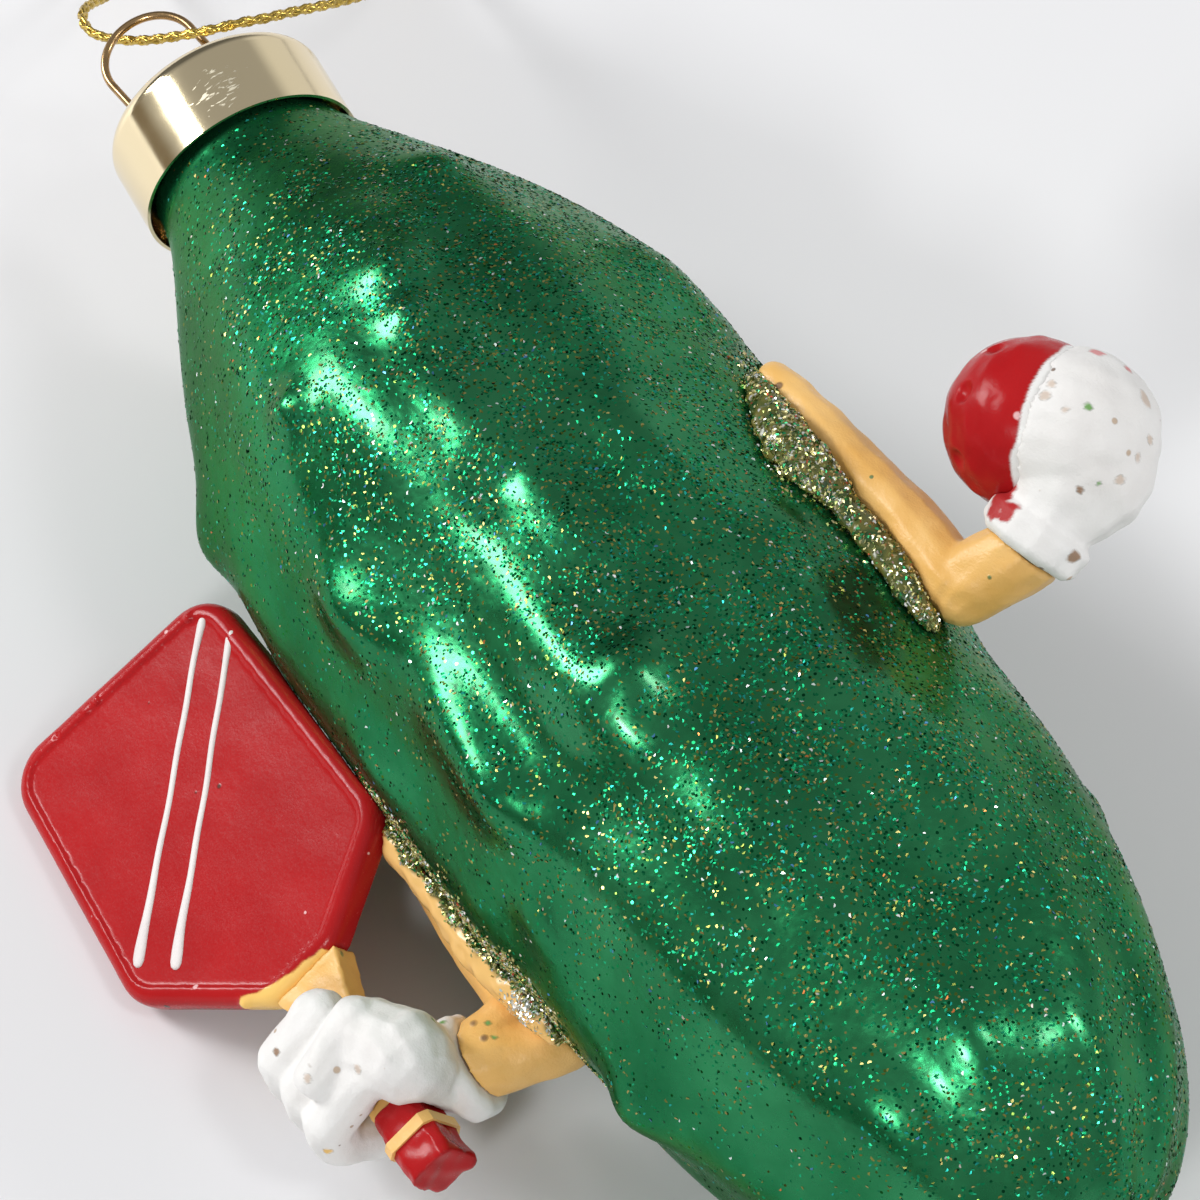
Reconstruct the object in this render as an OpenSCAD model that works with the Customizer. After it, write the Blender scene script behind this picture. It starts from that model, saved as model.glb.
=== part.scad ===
// Glass pickle ornament that plays pickleball, lying on a table.
// Lengths are in millimetres. The ornament is drawn hanging, with its axis on Z and the
// rim of its cap at Z = 0, and lay() then turns it on to its belly and its paddle's edge.

/* [Glass body] */
// Outer diameter of the glass neck inside the cap
neck_d = 18; // [15:0.1:18.4]
// Diameter of the belly
belly_d = 50.2; // [44:0.2:56]
// Diameter where the barrel turns into the rounded end
end_d = 48.2; // [42:0.2:50]
// Length of the shoulder, from the cap to the belly
shoulder_len = 47; // [42:1:52]
// Length of the straight belly that the ornament lies on
belly_len = 30; // [24:1:36]
// Length over which the belly narrows to the end
waist_len = 9; // [6:1:14]
// Length of the rounded end
end_len = 47.5; // [42:0.5:54]
// Thickness of the glass
wall = 1.2; // [1:0.1:1.8]
// Number of lengthwise lobes
lobe_count = 10; // [6:1:14]
// Height of the lengthwise lobes
lobe_h = 0.35; // [0:0.05:0.5]
// Height of a full wart or ridge
wart_h = 1.2; // [0.4:0.1:1.6]

/* [Cap and hanger] */
// Outer diameter of the metal cap
cap_d = 21.6; // [20.6:0.2:26]
// Height of the metal cap
cap_h = 9.2; // [7.5:0.1:12]
// Thickness of the cap's sheet metal
cap_sheet = 0.3; // [0.2:0.05:0.6]
// Room between the end of the glass neck and the cap's top
neck_room = 0.3; // [0.2:0.05:1]
// Radius of the cap's upper corner
cap_corner = 2; // [1:0.1:3]
// How far the loose cap stands up from the body
cap_lift = 0.8; // [0:0.1:2]
// Tilt of the loose cap towards the ball
cap_tilt = 6; // [0:0.5:7]
// Thickness of the hanger's spring wire
wire_d = 0.8; // [0.6:0.1:1]
// Width of the wire loop, between the middles of its legs
loop_w = 9.2; // [8:0.2:10]
// Height of the wire loop above the cap
loop_h = 13.8; // [11:0.1:18]
// Length of the wire's legs under the cap's top
leg_len = 12; // [9:0.5:13]
// Outward slant of each leg, in degrees
leg_splay = 6; // [3:0.5:6]
// Turn of the wire loop about the axis
loop_turn = 21; // [0:1:60]
// Lean of the wire loop towards the paddle
loop_lean = 4; // [0:0.5:6]

/* [Arms] */
// Distance of the shoulders from the rim of the cap
shoulder_at = 56; // [54:0.5:58]
// Length of an upper arm
upper_arm = 28.5; // [26:0.5:30]
// Depth of the sleeve, across the arm
sleeve_w = 6.4; // [5:0.2:8]
// How far the sleeve stands out from the glass at the shoulder
sleeve_out = 3.6; // [3:0.1:5]
// How far the sleeve stands out from the glass at the elbow
elbow_out = 5; // [3.6:0.1:6]
// Diameter of a glove's cuff
cuff_d = 9.6; // [8.5:0.1:11]
// Thickness of a glove's cuff
cuff_t = 3.2; // [2:0.1:4]
// Gap that the glue fills between the glass and what is stuck to it
seat_gap = 0.1; // [0.05:0.05:0.3]

/* [Paddle] */
// Distance of the blade's middle from the rim of the cap
blade_at = 49.5; // [46:0.5:53]
// Width of the paddle's blade
blade_w = 29.6; // [25:0.2:32]
// How much wider the blade is below than at the top
blade_flare = 2.6; // [0:0.2:4]
// Length of the paddle's blade
blade_len = 38.2; // [34:0.2:42]
// How much lower the blade's inner top corner lies than its outer one
top_slant = 1.3; // [0:0.1:2.4]
// Height of the blade's inner lower corner above its end
inner_corner_up = 8.9; // [6:0.1:14]
// Height of the blade's outer lower corner above its end
outer_corner_up = 12.6; // [10:0.1:18]
// Thickness of the paddle
paddle_t = 3.6; // [3:0.1:4.8]
// Radius of the blade's corners
blade_corner = 4.5; // [3:0.1:6]
// Rounding of the blade's edges
blade_edge = 1.3; // [0.8:0.1:1.4]
// Width of the flat rim between the blade's rounded edge and its sunk face
rim_flat = 0.3; // [0.2:0.1:0.8]
// How far the blade's face lies below its rim
face_sink = 0.25; // [0.1:0.05:0.5]
// Width of the two painted stripes
stripe_w = 0.9; // [0.6:0.1:1.4]
// Height of the painted stripes
stripe_t = 0.3; // [0.2:0.05:0.5]
// Width of the paddle's handle
handle_w = 4.6; // [3.8:0.1:5.6]
// Length of the handle from the blade to its end block
grip_len = 15.6; // [13:0.1:18]
// Length of the handle's end block
butt_len = 7.3; // [5:0.1:9]
// Thickness of the handle's end block
butt_t = 5; // [4.2:0.1:6.4]
// Tilt of the paddle towards its handle
paddle_tilt = 4; // [2:0.5:6]

/* [Ball] */
// Diameter of the ball
ball_d = 14.8; // [13:0.1:16]
// Diameter of the ball's dimples
dimple_d = 2.6; // [1.6:0.1:3.2]
// Diameter of the gloved hand round the ball
hand_d = 14.8; // [13.6:0.1:17]
// Distance of the ball's middle above the elbow
ball_up = 8.2; // [7:0.1:10]
// Distance of the ball's middle from the glass
ball_out = 15.4; // [15:0.1:18]

/* [Cord] */
// Thickness of the gold thread
cord_d = 1.2; // [1:0.1:1.4]
// Length of the thread's knot
knot_len = 4; // [3.2:0.1:5]

/* [Lay] */
// Roll of the ornament from the paddle to the ball
roll = 36; // [32:1:40]

/* [Hidden] */

round_fn = 64;
soft_fn = 12;
glass_sides = 64;

neck_r = neck_d / 2;
// Where the tilted cap's top crosses the axis, and the neck that ends below the cap's low side
cap_top = cap_lift + cap_h / cos(cap_tilt);
neck_len = cap_top - cap_sheet - neck_room - neck_r * tan(cap_tilt);
// Highest point of the leaning wire loop
loop_r = (loop_w + wire_d) / 2;
loop_top = cap_top + (loop_h - loop_r) * cos(loop_lean) + loop_r;
belly_r = belly_d / 2;
end_r = end_d / 2;
waist_at = shoulder_len + belly_len;
end_at = waist_at + waist_len;
body_len = end_at + end_len;
shoulder_power = 0.98;
end_power = 2.1;

// Where the lying ornament stands: middle of its length and width over the origin
side_shift = 3.7;
place = [(loop_top - body_len) / 2, side_shift, belly_r];

module lay() {
    translate(place) rotate([roll - 90, 0, 0]) rotate([0, -90, 0]) children();
}

// A point by its distance from the cap's rim, its place to the side and its depth to the back
function at(s, x, y) = [x, y, -s];

function smooth(t) = let (c = min(1, max(0, t))) c * c * (3 - 2 * c);
function wrap(a) = a - 360 * round(a / 360);

// Radius of the smooth glass body at a distance s from the cap's rim
function profile(s) =
    s <= 0 ? neck_r
    : s < shoulder_len
        ? neck_r + (belly_r - neck_r) * pow(sin(90 * s / shoulder_len), shoulder_power)
    : s < end_at
        ? belly_r - (belly_r - end_r) * smooth((s - waist_at) / waist_len)
    : s < body_len
        ? end_r * pow(1 - pow((s - end_at) / end_len, end_power), 1 / end_power)
    : 0;

// Warts and ridges: distance from the rim, angle from the ball's side over the front,
// share of the full height, half length along the body, half width round it
front_warts = [
    [20, 32, 1.0, 4, 3], [25.5, 55, 0.5, 5, 4], [31, 63, 0.8, 3.5, 3], [37, 67, 0.7, 2.2, 2.2],
    [36, 98, 0.9, 2.2, 2.2], [45, 91, 1.0, 13, 3], [71, 83, 1.1, 11, 2.8],
    [50, 70, 0.8, 6, 2.6], [63, 67, 0.9, 6, 2.6], [56.5, 75, -0.5, 3, 2.6],
    [78, 74, 1.0, 3, 2.8], [53.5, 115, 1.0, 4.5, 2.6], [74, 111, 1.0, 8, 2.6],
    [72, 28, 0.8, 3, 2.6], [31, 151, 1.2, 4, 4], [101, 146, 1.2, 3.5, 3.6],
    [60, 47, 0.7, 7, 3], [88, 46, 0.6, 7, 3.4], [95, 82, 0.6, 8, 3.6], [86, 128, 0.8, 4, 3],
    [107, 53, -0.5, 6, 9], [119.5, 93, 0.8, 5, 3.4], [119, 63, 0.8, 5, 3.4],
    [122, 44, 0.8, 5, 3.4], [40, 10, 0.9, 6, 4], [62, 137, 0.7, 5, 3]];
back_wart_rows = [[26, 300], [40, 330], [44, 205], [52, 275], [66, 315], [72, 262],
    [84, 290], [92, 205], [98, 325], [108, 270]];
back_warts = [for (p = back_wart_rows) [p[0], p[1], 0.9, 4, 3]];

// The glass is smooth where the arms are stuck on and along the line that it lies on
seat_half = 20;
seat_fade = 10;
floor_half = 12;
floor_fade = 16;
floor_angle = 270 - roll;
glue_side = 6;
elbow_at = shoulder_at + upper_arm;
function beside(a, mid, half, fade) = smooth((abs(wrap(a - mid)) - half) / fade);
seat_run = 5;
ball_seat = shoulder_at - 2 * seat_run;
paddle_seat = blade_at - blade_len / 4;
function along_arm(s, from) =
    smooth((s - from) / seat_run) * smooth((elbow_at + 2 * seat_run - s) / seat_run);
function bare(a, s) =
    beside(a, floor_angle, floor_half, floor_fade)
    * (1 - along_arm(s, ball_seat) * (1 - beside(a, glue_side, seat_half, seat_fade)))
    * (1 - along_arm(s, paddle_seat) * (1 - beside(a, 180 - glue_side, seat_half, seat_fade)));

function wart(w, a, s, r) =
    let (ds = (s - w[0]) / w[3], da = wrap(a - w[1]) * PI / 180 * r / w[4])
    abs(ds) > 2.4 || abs(da) > 2.4 ? 0 : w[2] * exp(-ds * ds - da * da);
function sum(v) = v * [for (i = v) 1];
function lobes(a, s) =
    lobe_h * smooth((s - 8) / 24) * cos(lobe_count * a + 40 * sin(4 * s));
function relief(a, s, r) =
    bare(a, s) * (lobes(a, s)
        + wart_h * sum([for (w = concat(front_warts, back_warts)) wart(w, a, s, r)]));

shoulder_rings = 18;
belly_rings = 11;
end_rings = 9;
outer_at = concat([-neck_len, -neck_len / 2],
    [for (i = [0 : shoulder_rings - 1]) i * shoulder_len / shoulder_rings],
    [for (i = [0 : belly_rings - 1]) shoulder_len + i * (end_at - shoulder_len) / belly_rings],
    [for (i = [0 : end_rings - 1]) end_at + end_len * sin(90 * i / end_rings)]);
inner_rings = 7;
inner_at = concat([-neck_len],
    [for (i = [0 : inner_rings - 1]) (end_at + end_len * 0.8) * i / (inner_rings - 1)]);

// One ring of points round the axis; angles run from the ball's side over the front
function ring(s, inner) = [for (k = [0 : glass_sides - 1])
    let (a = 360 * k / glass_sides, r = profile(s),
        rr = inner ? r - wall : r + (s > 0 ? relief(a, s, r) : 0))
    at(s, rr * cos(a), -rr * sin(a))];
function band(from, to) = [for (k = [0 : glass_sides - 1])
    let (n = (k + 1) % glass_sides)
    each [[from + k, from + n, to + k], [from + n, to + n, to + k]]];
function fan(from, pole) = [for (k = [0 : glass_sides - 1])
    [from + k, from + (k + 1) % glass_sides, pole]];
function turned(faces) = [for (f = faces) [f[0], f[2], f[1]]];

module glass_body() {
    n_out = len(outer_at);
    n_in = len(inner_at);
    tip = n_out * glass_sides;
    inside = tip + 1;
    inner_tip = inside + n_in * glass_sides;
    points = concat(
        [for (s = outer_at) each ring(s, false)], [at(body_len, 0, 0)],
        [for (s = inner_at) each ring(s, true)], [at(body_len - wall, 0, 0)]);
    outside_faces = concat(
        [for (i = [0 : n_out - 2]) each band(i * glass_sides, (i + 1) * glass_sides)],
        fan((n_out - 1) * glass_sides, tip));
    inside_faces = concat(
        [for (i = [0 : n_in - 2])
            each band(inside + i * glass_sides, inside + (i + 1) * glass_sides)],
        fan(inside + (n_in - 1) * glass_sides, inner_tip));
    mouth = band(inside, 0);
    color("seagreen") lay() polyhedron(points,
        concat(turned(outside_faces), inside_faces, turned(mouth)));
}

// The smooth body, grown by a gap, that seats are cut with
module body_cut(gap) {
    cut_steps = 48;
    rotate_extrude($fn = round_fn) polygon(concat([[0, 0]],
        [for (i = [0 : cut_steps - 1])
            let (s = body_len * i / cut_steps) [profile(s) + gap, -s]],
        [[0, -body_len - gap]]));
}

module cap_section(r, h, corner) {
    square([r, h - corner]);
    square([r - corner, h]);
    translate([r - corner, h - corner]) circle(corner, $fn = round_fn);
}

// Draws the hanger's wire, with its loop up from the middle of the cap's top
module at_hanger() {
    translate([0, 0, cap_top]) rotate([0, -loop_lean, 0]) rotate([0, 0, loop_turn]) children();
}

hole_d = wire_d + 0.7;
module cap() {
    color("gold") lay() difference() {
        translate([0, 0, cap_lift]) rotate([0, cap_tilt, 0])
            rotate_extrude($fn = round_fn) difference() {
                cap_section(cap_d / 2, cap_h, cap_corner);
                cap_section(cap_d / 2 - cap_sheet, cap_h - cap_sheet, cap_corner - cap_sheet);
            }
        at_hanger() for (side = [-1, 1])
            translate([side * loop_w / 2, 0, 0])
                cylinder(d = hole_d, h = 2 * cap_corner, center = true, $fn = round_fn);
    }
}

// A bend of the wire, from an angle on by some degrees
module wire_arc(r, from, turn) {
    rotate([0, 0, from]) rotate_extrude(angle = turn, $fn = round_fn)
        translate([r, 0]) circle(d = wire_d, $fn = round_fn);
}

module hanger_wire() {
    bow = loop_h - loop_r;
    knee = -cap_sheet - 1.2;
    knee_r = 4;
    foot_len = (leg_len + knee) / cos(leg_splay) - knee_r * tan(leg_splay);
    color("darkgoldenrod") lay() at_hanger() union() {
        translate([0, 0, bow]) rotate([90, 0, 0]) wire_arc(loop_w / 2, 0, 180);
        for (side = [0, 1]) mirror([side, 0, 0]) translate([loop_w / 2, 0, 0]) {
            translate([0, 0, knee]) cylinder(d = wire_d, h = bow - knee, $fn = round_fn);
            translate([knee_r, 0, knee]) rotate([90, 0, 0]) wire_arc(knee_r, 180, leg_splay);
            translate([knee_r, 0, knee]) rotate([0, -leg_splay, 0])
                translate([-knee_r, 0, -foot_len])
                    cylinder(d = wire_d, h = foot_len, $fn = round_fn);
        }
    }
}

// Gold thread from the knot through the wire loop and back, on the table behind the cap
cord_route = [[-117, 21.5, 0.8], [-110, 19, 1.2], [-103.5, 15.7, 3.6], [-97.5, 12.1, 7.6],
    [-92.5, 8.3, 12.4], [-89, 4.9, 16.6], [-86.8, 2.9, 19], [-84.8, 1.7, 20.2],
    [-82.9, 1.3, 20.8], [-80.9, 1.6, 21.6], [-78.4, 2.7, 22.8], [-76.1, 4, 24.2],
    [-74.1, 5.3, 25.7], [-72.1, 7, 27.2], [-70.6, 8.9, 28.2], [-70.1, 11.1, 28.1],
    [-70.2, 13.5, 27.1], [-70.7, 17.1, 25.4], [-71.6, 21.9, 22.8], [-74, 27.5, 18.6],
    [-78, 33.1, 13.4], [-84, 37.7, 8.2], [-92, 40.5, 4], [-100, 39.9, 1.6], [-107.5, 36.5, 0.8],
    [-113.2, 30.9, 0.8], [-116.4, 24.7, 0.8]];
cord_sides = 8;
cord_steps = 3;
function spline(p, i, t) =
    let (n = len(p) - 1, a = p[max(0, i - 1)], b = p[i], c = p[min(n, i + 1)], d = p[min(n, i + 2)])
    0.5 * (2 * b + t * (c - a) + t * t * (2 * a - 5 * b + 4 * c - d)
        + t * t * t * (3 * b - a - 3 * c + d));
cord_line = [for (i = [0 : len(cord_route) - 2]) for (j = [0 : cord_steps - 1])
    spline(cord_route, i, j / cord_steps), cord_route[len(cord_route) - 1]];
function unit(v) = v / norm(v);
function heading(p, i) = unit(p[min(len(p) - 1, i + 1)] - p[max(0, i - 1)]);
function frame_side(t) = unit(cross(t, abs(t[2]) < 0.9 ? [0, 0, 1] : [1, 0, 0]));

// A closed solid through rings of points, each with as many points
module solid_rings(rings, turn_over) {
    n = len(rings);
    m = len(rings[0]);
    sides = [for (i = [0 : n - 2]) for (k = [0 : m - 1])
        let (j = (k + 1) % m, b = i * m)
        each [[b + k, b + m + k, b + j], [b + j, b + m + k, b + m + j]]];
    ends = [for (k = [1 : m - 2])
        let (e = (n - 1) * m)
        each [[0, k, k + 1], [e, e + k + 1, e + k]]];
    faces = concat(sides, ends);
    polyhedron([for (r = rings) each r], turn_over ? turned(faces) : faces);
}

// A closed round tube along a line of points
module tube(line, d) {
    solid_rings([for (i = [0 : len(line) - 1])
        let (t = heading(line, i), u = frame_side(t), v = cross(u, t))
        [for (k = [0 : cord_sides - 1])
            let (a = 360 * k / cord_sides)
            line[i] + d / 2 * (cos(a) * u + sin(a) * v)]], false);
}

module hanging_cord() {
    color("goldenrod") tube(cord_line, cord_d);
}

// The knot joins the thread's two ends, with two short tails
module cord_knot() {
    first = cord_route[0];
    last = cord_route[len(cord_route) - 1];
    mid = (first + last) / 2 + [-knot_len / 2, 0, 0.6];
    tails = [[-5.5, -2.5], [-6, 1.5]];
    color("goldenrod") union() {
        hull() {
            translate(mid) rotate([90, 0, 0]) cylinder(d = 2.2 * cord_d, h = knot_len,
                center = true, $fn = soft_fn);
            translate(mid - [0.9 * cord_d, 0, 0]) sphere(d = 2 * cord_d, $fn = soft_fn);
        }
        for (t = tails)
            hull() {
                translate(mid) sphere(d = cord_d, $fn = soft_fn);
                translate([mid[0] + t[0], mid[1] + t[1], cord_d / 2 + 0.1])
                    sphere(d = cord_d, $fn = soft_fn);
            }
    }
}

// A chain of hulled balls; each stop is a point, a radius and a stretch to the back and front
module chain(stops) {
    for (i = [0 : len(stops) - 2])
        hull() for (q = [stops[i], stops[i + 1]])
            translate(q[0]) scale([1, q[2], 1]) sphere(q[1], $fn = soft_fn);
}

// The paddle hangs beside the belly and leans on the table with its outer edge
blade_tuck = 2.3;
blade_lift = 0.55;
blade_reach = belly_r + blade_w - blade_tuck;
paddle_depth = (belly_r - blade_reach * sin(roll)) / cos(roll) - paddle_t / 2 + blade_lift;

PADDLE = -1;
BALL = 1;

// Place of each sleeve's middle beside the glass; the paddle's arm and wrist lie behind the paddle
sleeve_r = sleeve_out / 2 + 1;
arm_behind = 5;
wrist_behind = 1.9;
ball_arm_depth = -3.4;
ball_wrist_depth = -3.4;
ball_wrist_drop = 0.7;
// How much further the ball's sleeve stands out, and how much less the paddle's does
ball_sleeve_more = 0.45;
paddle_sleeve_less = 1.5;
function sleeve_depth(side) = side == PADDLE ? paddle_depth + arm_behind : ball_arm_depth;
function stand_out(s, side) =
    sleeve_out + (side == PADDLE ? -paddle_sleeve_less : ball_sleeve_more)
    + (elbow_out - sleeve_out) * smooth((s - shoulder_at) / upper_arm);
function sleeve_x(s, side) = profile(s) + stand_out(s, side) - sleeve_r;
// Share of the sleeve's full width along the upper arm
sleeve_taper = [[0, 0.55], [0.12, 0.8], [0.4, 0.92], [0.7, 1], [0.92, 1.1]];

// Each wrist: lean of the forearm towards the cap and the middle of the cuff's first face
wrist_at = elbow_at - 0.5;
forearm = 6.2;
ball_forearm = 9;
paddle_lean = 17;
ball_lean = 9;
paddle_wrist = at(wrist_at, -(profile(wrist_at) + forearm), paddle_depth + wrist_behind);
ball_wrist = at(wrist_at + ball_wrist_drop, profile(wrist_at) + ball_forearm, ball_wrist_depth);
function lean(side) = side == PADDLE ? paddle_lean : ball_lean;
function wrist(side) = side == PADDLE ? paddle_wrist : ball_wrist;

// Draws along the forearm, with Z out of the sleeve at the wrist
module at_wrist(side) {
    translate(wrist(side)) rotate([0, side * (90 - lean(side)), 0]) children();
}

// Yellow sleeve: a tapered upper arm on the glass and a forearm out to the cuff
module sleeve(side) {
    stretch = sleeve_w / 2 / sleeve_r;
    end_t = 0.4;
    elbow_low = side == PADDLE ? 2.2 : -1;
    difference() {
        union() {
            chain([for (q = sleeve_taper)
                let (s = shoulder_at + upper_arm * q[0])
                [at(s, side * sleeve_x(s, side), sleeve_depth(side)), sleeve_r * q[1], stretch]]);
            for (drop = [-2.4, elbow_low])
                hull() {
                    translate(at(elbow_at + drop, side * sleeve_x(elbow_at, side), sleeve_depth(side)))
                        scale([1, stretch, 1]) sphere(sleeve_r * 0.95, $fn = soft_fn);
                    at_wrist(side) translate([0, 0, -end_t])
                        cylinder(d = cuff_d - 2.4, h = end_t, $fn = soft_fn);
                }
        }
        body_cut(seat_gap);
    }
}

// Spots of the two glue beads: place along the arm, angle from the sleeve's middle and radius
paddle_spots = [[-0.03, 5, 1], [0.08, 9, 1.6], [0.2, 10, 1.8], [0.34, 10.5, 1.9],
    [0.48, 10.5, 1.7], [0.62, 10.5, 1.8], [0.76, 11, 1.9], [0.9, 11, 2], [1.04, 11, 1.8],
    [1.14, 9.5, 1]];
ball_spots = [[-0.05, 1.5, 1], [0.06, 5.5, 1.7], [0.18, 8.5, 2.3], [0.3, 10.5, 2.8],
    [0.42, 9.5, 2.6], [0.54, 8, 1.8], [0.66, 8, 1.8], [0.8, 7.5, 1.8], [0.92, 7, 1.6], [1.03, 5.5, 1]];

// Glitter glue in the corner between the sleeve's front and the glass: rings of points that
// are pushed out of the sleeve and then up to the glass
glue_sides = 14;
glue_steps = 2;
bead_lift = 0.3;
function sleeve_share(s) =
    let (run = (s - shoulder_at) / upper_arm, share = lookup(run, sleeve_taper))
    run < 0 ? share * max(0.2, 1 + run * upper_arm / (share * sleeve_r)) : share;
function outside_sleeve(p, s, side) =
    let (c = [side * sleeve_x(s, side), sleeve_depth(side)], share = sleeve_share(s),
        a = sleeve_r * share + seat_gap, b = sleeve_w / 2 * share + seat_gap,
        q = [(p[0] - c[0]) / a, (p[1] - c[1]) / b], n = norm(q))
    n < 1 ? c + [q[0] / n * a, q[1] / n * b] : p;
function outside_glass(p, s) =
    let (r = profile(s) + seat_gap, n = norm(p)) n < r ? p * r / n : p;
function glue_ring(q, side) =
    let (s = shoulder_at + upper_arm * q[0], r = profile(s) + bead_lift,
        turn = q[1] - asin(sleeve_depth(side) / r))
    [for (k = [0 : glue_sides - 1])
        let (a = 360 * k / glue_sides,
            p = [side * r * cos(turn), -r * sin(turn)] + q[2] * [side * cos(a), -sin(a)],
            w = outside_glass(outside_sleeve(p, s, side), s))
        at(s, w[0], w[1])];
module glue(side) {
    spots = side == PADDLE ? paddle_spots : ball_spots;
    line = [for (i = [0 : len(spots) - 2]) for (j = [0 : glue_steps - 1])
        spline(spots, i, j / glue_steps), spots[len(spots) - 1]];
    difference() {
        solid_rings([for (q = line) glue_ring(q, side)], side == BALL);
        translate(at(0, 0, -seat_gap)) sleeve(side);
    }
}

cuff_step = 0.4;
module cuff(side) {
    at_wrist(side) translate([0, 0, seat_gap]) {
        rim = 0.6;
        hull() {
            translate([0, 0, rim]) cylinder(d = cuff_d, h = cuff_t - 2 * rim, $fn = soft_fn);
            cylinder(d = cuff_d - 2 * rim, h = cuff_t, $fn = soft_fn);
        }
    }
}

module paddle_arm() { color("sandybrown") lay() sleeve(PADDLE); }
module ball_arm() { color("sandybrown") lay() sleeve(BALL); }
module paddle_arm_glue() {
    color("darkkhaki") lay() difference() {
        glue(PADDLE);
        blade_solid(seat_gap);
    }
}
module ball_arm_glue() { color("darkkhaki") lay() glue(BALL); }

paddle_mid = at(blade_at, -(blade_reach - blade_w / 2), paddle_depth);

module at_paddle() { translate(paddle_mid) rotate([-paddle_tilt, 0, 0]) children(); }

// A disc with rounded edges, which lies across the paddle's thickness
module puck(r, grow) {
    half = paddle_t / 2 + grow;
    rotate([90, 0, 0]) hull() {
        cylinder(r = r + grow - blade_edge, h = 2 * half, center = true, $fn = 32);
        for (z = [-1, 1]) translate([0, 0, z * (half - blade_edge)])
            rotate_extrude($fn = 32) translate([r + grow - blade_edge, 0])
                circle(blade_edge, $fn = 16);
    }
}

// Blade: narrower at the top, with a slanted lower end that runs into the throat, and a face
// that lies a little below its rounded rim
top_w = blade_w - blade_flare;
throat_r = 2 * blade_edge + 0.2;
throat_half = 2.9;
handle_x = 0.4;
blade_low = -blade_len / 2;
blade_high = blade_len / 2 - blade_corner;
// Its corners: place across, place along and radius
blade_stops = [
    [-top_w / 2 + blade_corner, blade_high, blade_corner],
    [top_w / 2 - blade_corner, blade_high - top_slant, blade_corner],
    [blade_w / 2 - blade_corner, blade_low + inner_corner_up, blade_corner],
    [-blade_w / 2 + blade_corner, blade_low + outer_corner_up, blade_corner],
    [handle_x - throat_half, blade_low + throat_r, throat_r],
    [handle_x + throat_half, blade_low + throat_r, throat_r]];
module blade_solid(grow) {
    at_paddle() hull() for (q = blade_stops) translate([q[0], 0, q[1]]) puck(q[2], grow);
}
module on_face() { at_paddle() translate([0, face_sink - paddle_t / 2, 0]) rotate([90, 0, 0]) children(); }
module face_outline(inset) {
    hull() for (q = blade_stops)
        translate([q[0], q[1]]) circle(q[2] - blade_edge - rim_flat - inset, $fn = 32);
}
module paddle_blade() {
    color("firebrick") lay() difference() {
        blade_solid(0);
        body_cut(seat_gap);
        on_face() linear_extrude(2 * face_sink) face_outline(0);
    }
}

// Two slanted painted lines on the sunk face, with a blob at each end
stripe_ends = [[[10.8, 14.5], [-12.3, -6.2]], [[11.3, 11], [-9.5, -9.2]]];
stripe_blob = 1.3;
rim_clear = 0.1;
module paddle_stripes() {
    color("white") lay() on_face() linear_extrude(stripe_t) intersection() {
        face_outline(rim_clear);
        for (line = stripe_ends) {
            hull() for (p = line) translate(p) circle(d = stripe_w, $fn = 16);
            for (p = line) translate(p) circle(d = stripe_blob * stripe_w, $fn = 16);
        }
    }
}

// Handle from the throat through the fist, and its end block with a painted band
handle_t = paddle_t - 0.5;
throat_w = 2 * (throat_half + 0.9);
throat_len = 4.6;
handle_top = -blade_len / 2 - seat_gap / 2;
butt_top = handle_top - grip_len;
butt_w = handle_w + 0.2;
module handle_solid(grow) {
    at_paddle() translate([handle_x, 0, 0]) rotate([90, 0, 0])
        linear_extrude(handle_t + 2 * grow, center = true)
        polygon([[-throat_w / 2 - grow, handle_top], [throat_w / 2 + grow, handle_top],
            [handle_w / 2 + grow, handle_top - throat_len], [handle_w / 2 + grow, butt_top],
            [-handle_w / 2 - grow, butt_top], [-handle_w / 2 - grow, handle_top - throat_len]]);
}
module butt_outline(grow) {
    x = butt_w / 2 + grow;
    y = butt_t / 2 + grow;
    c = 0.7;
    polygon([[-x + c, -y], [x - c, -y], [x, -y + c], [x, y - c], [x - c, y], [-x + c, y],
        [-x, y - c], [-x, -y + c]]);
}
module butt_solid(grow) {
    at_paddle() translate([handle_x, 0, butt_top - butt_len - grow])
        linear_extrude(butt_len - seat_gap / 2 + 2 * grow) butt_outline(grow);
}
band_t = 0.25;
band_w = 1.1;
band_at = 0.56;
module paddle_handle() { color("sandybrown") lay() handle_solid(0); }
module handle_butt() { color("firebrick") lay() butt_solid(0); }
module butt_band() {
    color("sandybrown") lay() at_paddle()
        translate([handle_x, 0, butt_top - butt_len * band_at]) linear_extrude(band_w)
            difference() {
                butt_outline(band_t);
                butt_outline(0);
            }
}

// A place on the paddle, in the ornament's frame
function on_paddle(p) = paddle_mid + [p[0],
    p[1] * cos(paddle_tilt) + p[2] * sin(paddle_tilt),
    p[2] * cos(paddle_tilt) - p[1] * sin(paddle_tilt)];

// Fist round the handle: palm, thumb and three fingers, cut free of the handle
fist_top = handle_top - throat_len;
finger_r = 2.6;
finger_pitch = 3.7;
first_finger = 1.3;
palm_x = handle_w / 2 + 1.8;
palm_front = -handle_t / 2 - 1.75;
finger_wrap = handle_t / 2 + 1.85;
finger_reach = handle_w / 2 + 0.4;
// Palm from the thumb to the wrist: place from its middle, distance down the handle, radius
palm_stops = [[-5, 5.4, 3.2], [-1.6, 6.6, 4], [0, 9.4, 4.2]];
palm_end = palm_stops[2];
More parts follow.
